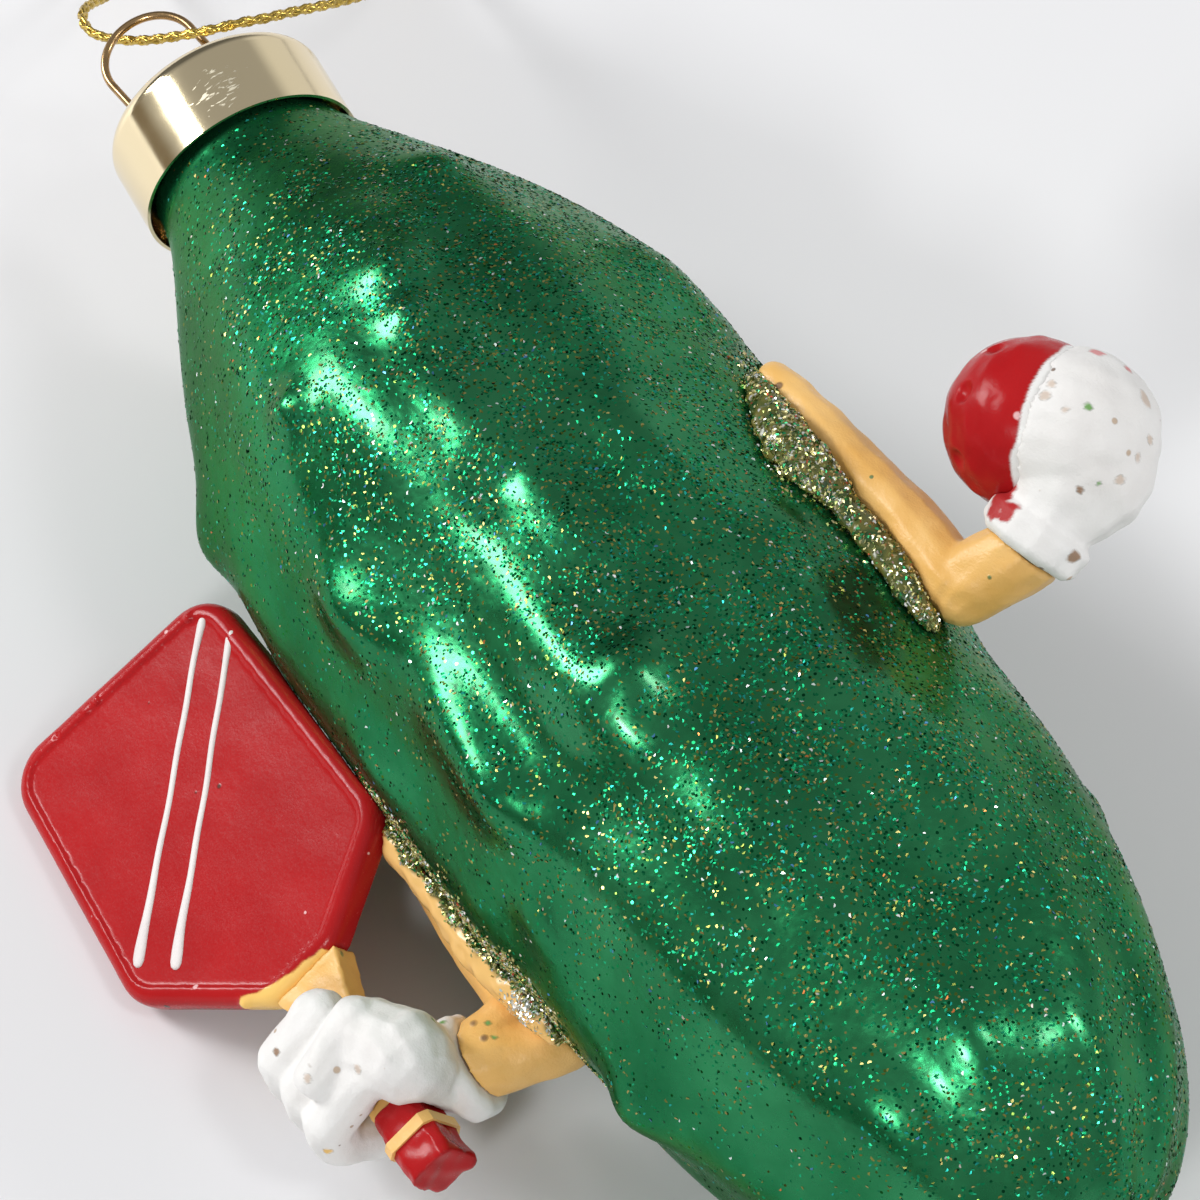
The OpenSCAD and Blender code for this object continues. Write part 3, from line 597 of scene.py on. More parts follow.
def flake_tree():
    """Scatters six-sided flakes over a surface, thicker where its attribute asks for them."""
    tree, given, out = geometry_tree("Scatter flakes", (
        ("Density", "Float"), ("Radius", "Float"), ("Thickness", "Float"), ("Tilt", "Float"),
        ("Clumps", "Float"), ("Attribute", "String"), ("Seed", "Int"), ("Material", "Material")))
    wanted = add(tree, "GeometryNodeInputNamedAttribute", {"data_type": "FLOAT"},
                 {"Name": given["Attribute"]})
    place = add(tree, "GeometryNodeInputPosition")
    clumps = remap(tree, noise(tree, place.outputs[0], given["Clumps"], 3.0), 0.36, 0.62, 0.3, 1.5)
    density = times(tree, times(tree, wanted.outputs[0], clumps), given["Density"])
    points = add(tree, "GeometryNodeDistributePointsOnFaces", {"distribute_method": "RANDOM"},
                 {"Mesh": given["Geometry"], "Density": density, "Seed": given["Seed"]})
    tint = add(tree, "FunctionNodeRandomValue", {"data_type": "FLOAT"},
               {2: 0.0, 3: 1.0, "Seed": given["Seed"]})
    tinted = add(tree, "GeometryNodeStoreNamedAttribute", {"data_type": "FLOAT", "domain": "POINT"},
                 {"Geometry": points.outputs["Points"], "Name": "flake_tint", "Value": tint.outputs[1]})
    lean = times(tree, given["Tilt"], -1.0)
    low = add(tree, "ShaderNodeCombineXYZ", None, {0: lean, 1: lean, 2: 0.0})
    high = add(tree, "ShaderNodeCombineXYZ", None, {0: given["Tilt"], 1: given["Tilt"], 2: math.pi})
    turn = add(tree, "FunctionNodeRandomValue", {"data_type": "FLOAT_VECTOR"},
               {0: low.outputs[0], 1: high.outputs[0], "Seed": maths(tree, "ADD", given["Seed"], 7)})
    euler = add(tree, "FunctionNodeEulerToRotation", None, {0: turn.outputs[0]})
    stand = add(tree, "FunctionNodeRotateRotation", {"rotation_space": "LOCAL"},
                {0: points.outputs["Rotation"], 1: euler.outputs[0]})
    cone = add(tree, "GeometryNodeMeshCone", {"fill_type": "NGON"}, {
        "Vertices": 6, "Radius Top": 0.0, "Radius Bottom": given["Radius"], "Depth": given["Thickness"]})
    flake = add(tree, "GeometryNodeTransform", None, {0: cone.outputs["Mesh"], "Rotation": (math.pi, 0, 0)})
    size = add(tree, "FunctionNodeRandomValue", {"data_type": "FLOAT"},
               {2: 0.75, 3: 1.12, "Seed": maths(tree, "ADD", given["Seed"], 19)})
    flakes = add(tree, "GeometryNodeInstanceOnPoints", None, {
        "Points": tinted.outputs[0], "Instance": flake.outputs[0], "Rotation": stand.outputs[0],
        "Scale": size.outputs[1]})
    real = add(tree, "GeometryNodeRealizeInstances", None, {0: flakes.outputs[0]})
    flat = add(tree, "GeometryNodeSetShadeSmooth", None, {0: real.outputs[0], "Shade Smooth": False})
    painted = add(tree, "GeometryNodeSetMaterial", None, {0: flat.outputs[0], "Material": given["Material"]})
    tree.links.new(painted.outputs[0], out[0])
    return tree


def strand_tree():
    """Sweeps a round strand along every line of a curve."""
    tree, given, out = geometry_tree("Strands", (
        ("Strand Radius", "Float"), ("Sides", "Int"), ("Material", "Material")))
    ring = add(tree, "GeometryNodeCurvePrimitiveCircle", {"mode": "RADIUS"},
               {"Resolution": given["Sides"], "Radius": given["Strand Radius"]})
    swept = add(tree, "GeometryNodeCurveToMesh", None, {
        "Curve": given["Geometry"], "Profile Curve": ring.outputs["Curve"],
        "Scale": add(tree, "GeometryNodeInputRadius").outputs[0], "Fill Caps": True})
    real = add(tree, "GeometryNodeRealizeInstances", None, {0: swept.outputs[0]})
    round_off = add(tree, "GeometryNodeSetShadeSmooth", None, {0: real.outputs[0], "Shade Smooth": True})
    painted = add(tree, "GeometryNodeSetMaterial", None,
                  {0: round_off.outputs[0], "Material": given["Material"]})
    tree.links.new(painted.outputs[0], out[0])
    return tree


def cells_of(tree, given):
    """Scattered cells, three random numbers for each, and which of them are chosen."""
    cells = add(tree, "ShaderNodeTexVoronoi", {"feature": "F1"},
                {"Vector": given["Vector"], "Scale": given["Scale"], "Randomness": 1.0})
    pick = add(tree, "ShaderNodeSeparateColor", None, {0: cells.outputs["Color"]})
    return cells, pick, maths(tree, "LESS_THAN", pick.outputs[0], given["Share"])


def speck_group():
    """Scattered specks: a mask of small blots of uneven size."""
    tree, given, out = group_tree("Specks", "ShaderNodeTree", (
        ("Vector", "Vector"), ("Scale", "Float"), ("Size", "Float"), ("Share", "Float")),
        (("Mask", "Float"), ("Pick", "Float")))
    cells, pick, chosen = cells_of(tree, given)
    reach = times(tree, given["Size"], remap(tree, pick.outputs[1], 0, 1, 0.35, 1.0))
    edge = maths(tree, "SUBTRACT", 1.0, maths(tree, "DIVIDE", cells.outputs["Distance"], reach))
    soft = remap(tree, edge, 0.0, 0.35)
    tree.links.new(times(tree, chosen, soft), out["Mask"])
    tree.links.new(pick.outputs[2], out["Pick"])
    return tree


def sparkle_group():
    """Fine glitter: small discs that each lean their own way."""
    tree, given, out = group_tree("Fine glitter", "ShaderNodeTree", (
        ("Vector", "Vector"), ("Scale", "Float"), ("Share", "Float"), ("Lean", "Float")),
        (("Mask", "Float"), ("Pick", "Float"), ("Normal", "Vector")))
    cells, pick, chosen = cells_of(tree, given)
    mask = times(tree, chosen, maths(tree, "LESS_THAN", cells.outputs["Distance"], 0.46))
    lean = vector(tree, "SUBTRACT", {0: cells.outputs["Color"], 1: (0.5, 0.5, 0.5)})
    push = vector(tree, "SCALE", {0: lean, "Scale": times(tree, given["Lean"], mask)})
    geometry = add(tree, "ShaderNodeNewGeometry")
    turned = vector(tree, "ADD", {0: push, 1: geometry.outputs["Normal"]})
    tree.links.new(mask, out["Mask"])
    tree.links.new(pick.outputs[2], out["Pick"])
    tree.links.new(vector(tree, "NORMALIZE", {0: turned}), out["Normal"])
    return tree


def paint_group(specks):
    """Hand paint: uneven colour, small specks of other paint, slight waves and brush texture."""
    tree, given, out = group_tree("Hand paint", "ShaderNodeTree", (
        ("Vector", "Vector"), ("Paint", "Color"), ("Shade", "Color"), ("Speck", "Color"),
        ("Other Speck", "Color"), ("Mottle", "Float"), ("Speck Scale", "Float"), ("Speck Share", "Float"),
        ("Gloss", "Float")), (("Color", "Color"), ("Roughness", "Float"), ("Height", "Float")))
    broad = remap(tree, noise(tree, given["Vector"], given["Mottle"], 3.0), 0.35, 0.72)
    coat = blended(tree, broad, given["Paint"], given["Shade"])
    spots = add(tree, "ShaderNodeGroup", {"node_tree": specks}, {
        "Vector": given["Vector"], "Scale": given["Speck Scale"], "Size": 0.34,
        "Share": given["Speck Share"]})
    other = maths(tree, "GREATER_THAN", spots.outputs["Pick"], 0.62)
    speck = blended(tree, other, given["Speck"], given["Other Speck"])
    faint = times(tree, spots.outputs["Mask"], 0.85)
    tree.links.new(blended(tree, faint, coat, speck), out["Color"])
    fine = noise(tree, given["Vector"], 5200.0, 3.0, 0.6)
    rough = maths(tree, "ADD", given["Gloss"], remap(tree, fine, 0.3, 0.7, -0.07, 0.07))
    tree.links.new(rough, out["Roughness"])
    low = noise(tree, given["Vector"], 900.0, 2.0)
    height = maths(tree, "ADD", times(tree, low, 0.6), times(tree, fine, 0.25))
    raised = times(tree, spots.outputs["Mask"], 0.5)
    tree.links.new(maths(tree, "ADD", height, raised), out["Height"])
    return tree


def surface(name):
    """A new material: its tree, its shader and its object coordinates."""
    material = bpy.data.materials.new(name)
    material.use_nodes = True
    tree = material.node_tree
    coords = tree.nodes.new("ShaderNodeTexCoord").outputs["Object"]
    return material, tree, tree.nodes["Principled BSDF"], coords


def relief(tree, shader, height, distance, strength, normal=None):
    """Bump from a height, in metres of depth."""
    bump = add(tree, "ShaderNodeBump", None, {"Strength": strength, "Distance": distance, "Height": height})
    if normal is not None:
        feed(tree, bump, {"Normal": normal})
    feed(tree, shader, {"Normal": bump.outputs["Normal"]})


def ramp(tree, value, stops):
    """A colour picked by a value from bands of colour."""
    made = add(tree, "ShaderNodeValToRGB", None, {0: value})
    made.color_ramp.interpolation = "CONSTANT"
    points = made.color_ramp.elements
    while len(points) < len(stops):
        points.new(1.0)
    for point, (at, colour) in zip(points, stops):
        point.position = at
        point.color = (*colour, 1)
    return made.outputs[0]


def glass_material(settings, sparkle):
    """Satin green lacquer over silvered glass, with fine glitter in it."""
    material, tree, shader, coords = surface("green_lacquer")
    broad = remap(tree, noise(tree, coords, 95.0, 4.0, 0.55), 0.32, 0.68)
    lacquer = blended(tree, broad, tuple(settings.deep), tuple(settings.colour))
    zone = times(tree, attribute(tree, "glue_zone"), 0.8)
    lacquer = blended(tree, zone, lacquer, (0.07, 0.10, 0.02, 1))
    glitter = attribute(tree, "glitter")
    clumps = remap(tree, noise(tree, coords, FLAKE_CLUMPS, 3.0), 0.36, 0.62, 0.1, 0.55)
    flakes = add(tree, "ShaderNodeGroup", {"node_tree": sparkle}, {
        "Vector": coords, "Scale": 3100.0, "Share": times(tree, glitter, clumps), "Lean": 0.6})
    tint = ramp(tree, flakes.outputs["Pick"], FINE_TINTS)
    mask = flakes.outputs["Mask"]
    fine = noise(tree, coords, 700.0, 4.0, 0.6)
    satin = remap(tree, fine, 0.3, 0.7, 0.24, 0.33)
    clear = maths(tree, "ADD", 0.16, times(tree, glitter, 0.30))
    feed(tree, shader, {
        "Base Color": blended(tree, mask, lacquer, tint), "Metallic": 0.9,
        "Roughness": maths(tree, "SUBTRACT", satin, times(tree, mask, 0.1)),
        "Specular Tint": (0.03, 0.4, 0.15, 1), "Coat Roughness": 0.16, "Coat IOR": 1.5,
        "Coat Weight": maths(tree, "SUBTRACT", clear, times(tree, mask, 0.5), True)})
    grain = maths(tree, "ADD", noise(tree, coords, 420.0, 2.0), times(tree, fine, 0.25))
    relief(tree, shader, grain, 0.00016, 0.8, flakes.outputs["Normal"])
    return material


def flake_material(name, stops, roughness):
    """Metal flakes whose colour differs from flake to flake."""
    material, tree, shader, _ = surface(name)
    tint = ramp(tree, attribute(tree, "flake_tint"), stops)
    feed(tree, shader, {"Base Color": tint, "Metallic": 1.0, "Roughness": roughness})
    return material


def paint_material(name, paints, paint, shade, speck, other, mottle, scale, share, gloss, depth, shine):
    """Hand paint in one colour, with marks of other paint."""
    material, tree, shader, coords = surface(name)
    coat = add(tree, "ShaderNodeGroup", {"node_tree": paints}, {
        "Vector": coords, "Paint": tuple(paint), "Shade": shade, "Speck": speck, "Other Speck": other,
        "Mottle": mottle, "Speck Scale": scale, "Speck Share": share, "Gloss": gloss})
    mark = attribute(tree, "mark_colour", "Color")
    feed(tree, shader, {
        "Base Color": blended(tree, attribute(tree, "mark_share"), coat.outputs["Color"], mark),
        "Roughness": coat.outputs["Roughness"], "Specular IOR Level": shine})
    relief(tree, shader, coat.outputs["Height"], depth, 0.7)
    return material


def gold_material(settings):
    """Smooth gold sheet with a patch of fine scuffs on top and a few elsewhere."""
    material, tree, shader, coords = surface("gold_sheet")
    fine = vector(tree, "MULTIPLY", {0: coords, 1: (2600.0, 700.0, 700.0)})
    strokes = add(tree, "ShaderNodeTexNoise", None,
                  {"Vector": fine, "Scale": 1.0, "Detail": 3.0, "Distortion": 0.8}).outputs[0]
    away = vector(tree, "DISTANCE", {0: coords, 1: CAP_SCUFF}, "Value")
    patch = remap(tree, away, 0.001, 0.0048, 1.0, 0.0)
    cut = maths(tree, "SUBTRACT", 0.76, times(tree, patch, 0.2))
    worn = times(tree, maths(tree, "SUBTRACT", strokes, cut), 14.0, True)
    cloud = remap(tree, noise(tree, coords, 260.0, 4.0), 0.3, 0.7, 0.11, 0.17)
    feed(tree, shader, {
        "Base Color": blended(tree, worn, tuple(settings.cap), WORN_GOLD), "Metallic": 1.0,
        "Roughness": maths(tree, "ADD", cloud, times(tree, worn, 0.45))})
    relief(tree, shader, noise(tree, coords, 300.0, 2.0), 0.00001, 0.5)
    return material


def wire_material(name, colour, roughness):
    """Drawn wire or metallic thread."""
    material, tree, shader, coords = surface(name)
    cloud = noise(tree, coords, 900.0, 3.0)
    dark = tuple(0.6 * c for c in colour[:3]) + (1,)
    feed(tree, shader, {
        "Base Color": blended(tree, remap(tree, cloud, 0.4, 0.75), tuple(colour), dark), "Metallic": 1.0,
        "Roughness": remap(tree, cloud, 0.3, 0.7, roughness - 0.06, roughness + 0.1)})
    return material


# Glass body


def profile(s):
    """Radius of the smooth glass at a distance from the rim, in millimetres."""
    s = np.asarray(s, float)
    soft = FLARE_SOFT * np.log1p(np.exp(np.minimum(s, FLARE_END) / FLARE_SOFT))
    flare = np.where(s < FLARE_END, soft, s)
    rise = np.sin(np.pi / 2 * np.clip(flare / SHOULDER_LEN, 0, 1)) ** SHOULDER_POWER
    r = NECK_R + (BELLY_R - NECK_R) * rise
    r = np.where(s > WAIST_AT, BELLY_R - (BELLY_R - END_R) * smooth((s - WAIST_AT) / WAIST_LEN), r)
    round_end = np.clip(1 - np.clip((s - END_AT) / END_LEN, 0, 1) ** END_POWER, 0, 1) ** (1 / END_POWER)
    return np.where(s > END_AT, END_R * round_end, r)


def beside(a, middle, half, fade):
    """0 near an angle, 1 away from it."""
    return smooth((np.abs(wrap(a - middle)) - half) / fade)


def bare(a, s):
    """0 where the glass is smooth for an arm or the table, 1 elsewhere."""
    def along(start):
        return smooth((s - start) / SEAT_RUN) * smooth((ELBOW_AT + 2 * SEAT_RUN - s) / SEAT_RUN)
    ball = 1 - along(BALL_SEAT_AT) * (1 - beside(a, SEAT_ANGLE, SEAT_HALF, SEAT_FADE))
    paddle = 1 - along(PADDLE_SEAT_AT) * (1 - beside(a, 180 - SEAT_ANGLE, SEAT_HALF, SEAT_FADE))
    return beside(a, FLOOR_ANGLE, FLOOR_HALF, FLOOR_FADE) * ball * paddle


def lumps(a, s, r):
    """Lobes and warts of the glass, in millimetres."""
    wavy = np.cos(np.radians(LOBE_COUNT * a + 40 * np.sin(np.radians(4 * s))))
    total = LOBE_H * smooth((s - 8) / 24) * wavy
    for at, angle, share, half_long, half_wide in FRONT_WARTS + BACK_WARTS:
        ds = (s - at) / half_long
        da = np.radians(wrap(a - angle)) * r / half_wide
        total = total + WART_H * share * np.exp(-ds * ds - da * da)
    return np.where(s > 0, bare(a, s) * total, 0)


def glass_mesh(sides, rings):
    """The glass, outside and inside, with its open neck, and how much glitter each place holds."""
    straight = np.linspace(-NECK_LEN, END_AT, int(rings * 0.66), endpoint=False)
    end = END_AT + END_LEN * np.sin(np.linspace(0, np.pi / 2, rings - len(straight) + 1))[:-1]
    outer = np.concatenate([straight, end])
    inner = np.concatenate([np.linspace(-NECK_LEN, 12, 14), np.linspace(20, END_AT + 0.8 * END_LEN, 9)])
    a = np.arange(sides) * 360 / sides
    points, glitter, zone = [], [], []

    def ring(s, r):
        turn = np.radians(a)
        points.append(lay(r * np.cos(turn), -r * np.sin(turn), np.full(sides, s)))

    for s in outer:
        r = profile(s)
        ring(s, r + lumps(a, np.full(sides, s), r))
        glitter.append(glitter_share(a, s))
        zone.append(glue_share(a, s))
    points.append(lay(0, 0, BODY_LEN)[None])
    glitter.append(np.array([TIP_GLITTER]))
    for s in inner:
        ring(s, np.full(sides, profile(s) - WALL))
    points.append(lay(0, 0, BODY_LEN - WALL)[None])
    unseen = np.zeros(sides * len(inner) + 1)
    glitter.append(unseen)
    zone += [np.zeros(1), unseen]

    faces = []
    k = np.arange(sides)
    n = (k + 1) % sides

    def band(first, second, flip):
        quad = np.stack([first + k, first + n, second + n, second + k], 1)
        faces.extend((quad[:, ::-1] if flip else quad).tolist())

    def fan(first, pole, flip):
        tri = np.stack([first + k, first + n, np.full(sides, pole)], 1)
        faces.extend((tri[:, ::-1] if flip else tri).tolist())

    tip = len(outer) * sides
    inside = tip + 1
    for i in range(len(outer) - 1):
        band(i * sides, (i + 1) * sides, False)
    fan((len(outer) - 1) * sides, tip, False)
    for i in range(len(inner) - 1):
        band(inside + i * sides, inside + (i + 1) * sides, True)
    fan(inside + (len(inner) - 1) * sides, inside + len(inner) * sides, True)
    band(inside, 0, False)
    mesh = mesh_from("glass_skin", np.concatenate(points), faces)
    keep_attribute(mesh, "glitter", np.concatenate(glitter))
    keep_attribute(mesh, "glue_zone", np.concatenate(zone))
    return mesh


def glitter_share(a, s):
    """How thickly glitter lies: most on the ball's side and the middle, little on the neck and end."""
    reach = smooth((GLITTER_HALF - np.abs(wrap(a - GLITTER_MIDDLE))) / GLITTER_FADE)
    side = GLITTER_LEAST + (1 - GLITTER_LEAST) * reach
    along = smooth((s + 1) / 24) * (1 - 0.6 * smooth((s - 88) / 34))
    cap_clear = smooth((s + 4.0) / 3.0)
    return side * (0.26 + 0.74 * along) * cap_clear


def glue_share(a, s):
    """How thickly glitter glue covers the glass beside the two arms."""
    ragged = 2.2 * np.sin(1.9 * s + 0.31 * a) + 1.6 * np.sin(0.83 * s - 0.47 * a + 1)
    back = -5 - 9 * smooth((s - 50) / 8) * smooth((83 - s) / 7)
    front = np.interp(s, *BALL_GLUE_EDGE) + 5
    ball = smooth((front - wrap(a) + ragged) / 9) * smooth((wrap(a) - back + ragged) / 6)
    paddle = smooth((a - np.interp(s, *PADDLE_GLUE_EDGE) + 4 + ragged) / 8) * (a < 176)
    total = 0
    for share, (ends, _) in ((ball, BALL_GLUE_EDGE), (paddle, PADDLE_GLUE_EDGE)):
        total = total + np.where((s > ends[0]) & (s < ends[-1]), share, 0)
    return total


# Operators


class ORNAMENT_OT_stage(bpy.types.Operator):
    """Adds the table, the soft lights, the surround and the camera"""
    bl_idname = "ornament.stage"
    bl_label = "Table, light and camera"

    def execute(self, context):
        settings = context.scene.ornament_stage
        corners = [(x * TABLE_HALF, y * TABLE_HALF, 0) for x, y in ((-1, -1), (1, -1), (1, 1), (-1, 1))]
        table = new_object("table", mesh_from("table", corners, [(0, 1, 2, 3)]))
        material, tree, shader, coords = surface("table_top")
        soft = remap(tree, noise(tree, coords, 6.0, 2.0), 0.3, 0.7)
        pale = tuple(settings.table)
        cooler = (pale[0] * 0.985, pale[1] * 0.985, pale[2], 1)
        feed(tree, shader, {"Base Color": blended(tree, soft, pale, cooler), "Roughness": 0.55,
                            "Specular IOR Level": 0.3})
        table.data.materials.append(material)
        for name, way, away, size, watts, roll in SOFT_LIGHTS:
            self.softbox(name, way, away, size, getattr(settings, watts), roll)
        self.surround(context.scene, settings.sky)
        self.camera(context.scene)
        context.scene.view_settings.view_transform = "Standard"
        return {"FINISHED"}

    @staticmethod
    def softbox(name, way, away, size, power, roll):
        """A rectangular soft light that faces the ornament."""
        lamp = bpy.data.lights.new(name, "AREA")
        lamp.shape = "RECTANGLE"
        lamp.size, lamp.size_y = size
        lamp.energy = power
        obj = new_object(name, lamp)
        back = Vector(way).normalized()
        obj.location = Vector(CAMERA_TARGET) + back * away
        obj.rotation_mode = "QUATERNION"
        obj.rotation_quaternion = back.to_track_quat("Z", "Y") @ Quaternion((0, 0, 1), roll)

    @staticmethod
    def surround(scene, strength):
        """A grey surround with a pale patch behind and a dark stretch low on the left."""
        world = bpy.data.worlds.new("surround")
        scene.world = world
        world.use_nodes = True
        tree = world.node_tree
        coords = tree.nodes.new("ShaderNodeTexCoord").outputs["Generated"]
        way = add(tree, "ShaderNodeSeparateXYZ", None, {0: coords})
        near = vector(tree, "DOT_PRODUCT", {0: coords, 1: PATCH_WAY}, "Value")
        walls = blended(tree, remap(tree, near, 0.93, 0.985), WALL_GREY, PALE_PATCH)
        walls = blended(tree, remap(tree, way.outputs[0], -0.85, -0.65, 1.0, 0.0), walls, FAR_GREY)
        left = remap(tree, way.outputs[1], -0.75, -0.5, 1.0, 0.0)
        low = remap(tree, way.outputs[2], 0.18, 0.34, 1.0, 0.0)
        walls = blended(tree, times(tree, left, low), walls, LOW_DARK)
        feed(tree, tree.nodes["Background"], {"Color": walls, "Strength": strength})

    @staticmethod
    def camera(scene):
        """A camera at the photograph's place."""
        data = bpy.data.cameras.new("camera")
        data.lens = CAMERA_LENS
        data.clip_start, data.clip_end = 0.01, 20
        camera = new_object("camera", data)
        back = Vector((math.sin(CAMERA_AZIMUTH) * math.cos(CAMERA_HEIGHT),
                       -math.cos(CAMERA_AZIMUTH) * math.cos(CAMERA_HEIGHT), math.sin(CAMERA_HEIGHT)))
        camera.location = Vector(CAMERA_TARGET) + back * CAMERA_AWAY
        camera.rotation_mode = "QUATERNION"
        camera.rotation_quaternion = back.to_track_quat("Z", "Y")
        scene.camera = camera


def spline(points, steps):
    """A smooth line through points."""
    p = np.asarray(points, float)
    out = []
    for i in range(len(p) - 1):
        a, b, c, d = p[max(0, i - 1)], p[i], p[i + 1], p[min(len(p) - 1, i + 2)]
        for k in range(steps):
            t = k / steps
            out.append(0.5 * (2 * b + t * (c - a) + t * t * (2 * a - 5 * b + 4 * c - d)
                              + t ** 3 * (3 * b - a - 3 * c + d)))
    out.append(p[-1])
    return np.array(out)


def even(line, step):
    """A line with points an even step apart."""
    run = np.concatenate([[0], np.cumsum(np.linalg.norm(np.diff(line, axis=0), axis=1))])
    at = np.linspace(0, run[-1], int(run[-1] / step) + 1)
    return np.stack([np.interp(at, run, line[:, i]) for i in range(3)], 1), at


def sides_of(line):
    """Two directions square to a line at each of its points, carried along without twist."""
    ahead = np.gradient(line, axis=0)
    ahead /= np.linalg.norm(ahead, axis=1)[:, None]
    first = np.cross(ahead[0], (0, 0, 1))
    one = [first / np.linalg.norm(first)]
    for t in ahead[1:]:
        u = one[-1] - t * (one[-1] @ t)
        one.append(u / np.linalg.norm(u))
    one = np.array(one)
    return one, np.cross(ahead, one)


def curve_object(name, lines):
    """A curve object of straight-sided lines, each with its own thickness."""
    curve = bpy.data.curves.new(name, "CURVE")
    curve.dimensions = "3D"
    for line, radius in lines:
        spline_data = curve.splines.new("POLY")
        spline_data.points.add(len(line) - 1)
        spline_data.points.foreach_set("co", np.column_stack([line, np.ones(len(line))]).ravel())
        spline_data.points.foreach_set("radius", np.full(len(line), radius))
    return new_object(name, curve)


def braid(line, along, thickness, turn_len):
    """Lines of strands that cross over and under each other round a line, with a core."""
    one, two = sides_of(line)
    strand_r = STRAND_SHARE * thickness
    lines = [(line, 0.9)]
    for way in (1, -1):
        for j in range(STRANDS):
            turn = way * 2 * np.pi * along / turn_len + 2 * np.pi * (j + 0.25 * (way < 0)) / STRANDS
            weave = WEAVE_SHARE * thickness * way * np.cos(2 * STRANDS * np.pi * along / turn_len * 2)
            out = thickness / 2 - strand_r - WEAVE_SHARE * thickness + weave
            spot = line + out[:, None] * (np.cos(turn)[:, None] * one + np.sin(turn)[:, None] * two)
            lines.append((spot, 1.0))
    return lines, strand_r


class ORNAMENT_OT_thread(bpy.types.Operator):
    """Braids the gold thread along its route and ties its knot"""
    bl_idname = "ornament.thread"
    bl_label = "Gold thread"

    def execute(self, context):
        settings = context.scene.ornament_metal
        gold = wire_material("gold_thread", settings.thread, 0.24)
        tree = strand_tree()
        line, along = even(spline(THREAD_ROUTE, 12), 0.00022)
        lines, strand_r = braid(line, along, settings.thread_d, settings.lay)
        thread = grow(curve_object("thread", lines), tree,
                      {"Strand Radius": strand_r, "Sides": 6, "Material": gold})
        dress(thread, None, "gold_thread", gold, "hanging_cord")
        knot = self.knot(settings, tree, gold)
        dress(knot, None, "gold_thread", gold, "cord_knot")
        for piece in (thread, knot):
            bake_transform(piece)
        return {"FINISHED"}

    @staticmethod
    def knot(settings, tree, gold):
        """An overhand knot of the two ends, with short tails on the table."""
        low, high = (np.array(corner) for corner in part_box("cord_knot"))
        middle = (low + high) / 2
        first, last = np.array(THREAD_ROUTE[0]), np.array(THREAD_ROUTE[-1])
        half = settings.thread_d / 2
        t = np.linspace(0, 2 * np.pi, 60)
        loop = np.stack([0.75 * np.sin(3 * t), np.sin(t) + 1.1 * np.sin(2 * t),
                         np.cos(t) - 1.1 * np.cos(2 * t)], 1)
        coil = middle + loop * np.array([0.0007, 0.00085, 0.0005]) + (0.0012, 0, 0)
        tails = [np.array([coil[0], (low[0] + 0.0006, low[1] + 0.0006, half + 0.0001)]),
                 np.array([coil[30], (low[0] + 0.0002, high[1] - 0.0008, half + 0.0001)])]
        ends = [np.array([first, coil[10]]), np.array([last, coil[45]])]
        lines = [(np.vstack([coil, coil[:1]]), 2.1)] + [(even(x, 0.0004)[0], 2.0) for x in tails + ends]
        return grow(curve_object("thread_knot", lines), tree,
                    {"Strand Radius": STRAND_SHARE * settings.thread_d, "Sides": 8, "Material": gold})


class ORNAMENT_OT_glass(bpy.types.Operator):
    """Blows the green glass body with its lobes and warts"""
    bl_idname = "ornament.glass"
    bl_label = "Glass body"

    def execute(self, context):
        settings = context.scene.ornament_glass
        skin = new_object("glass_skin", glass_mesh(settings.sides, settings.rings))
        dress(skin, "ornament", "green_glass", glass_material(settings, sparkle_group()), "glass_body")
        return {"FINISHED"}


def scatter(name, base, tree, settings, material, values):
    """Flakes over a copy of a piece's surface."""
    source = new_object(name, base.data.copy())
    source.data.materials.clear()
    return grow(source, tree, {"Radius": settings.radius, "Thickness": settings.thickness,
                               "Material": material, **values})


class ORNAMENT_OT_glitter(bpy.types.Operator):
    """Scatters green, gold and silver flakes over the glass"""
    bl_idname = "ornament.glitter"
    bl_label = "Glitter on the glass"

    def execute(self, context):
        settings = context.scene.ornament_glitter
        tree = flake_tree()
        kinds = (("green", GREEN_TINTS, settings.green, 11), ("bright", GREEN_TINTS, settings.green, 17),
                 ("gold", GOLD_TINTS, settings.gold, 23), ("silver", SILVER_TINTS, settings.silver, 37))
        for name, stops, density, seed in kinds:
            material = flake_material(name + "_flake", stops, 0.36)
            flakes = scatter("glitter_" + name, bpy.data.objects["glass_skin"], tree, settings, material, {
                "Density": density, "Tilt": settings.glass_tilt, "Clumps": FLAKE_CLUMPS,
                "Attribute": "glitter", "Seed": seed})
            dress(flakes, "ornament", "green_glass", material)
        return {"FINISHED"}


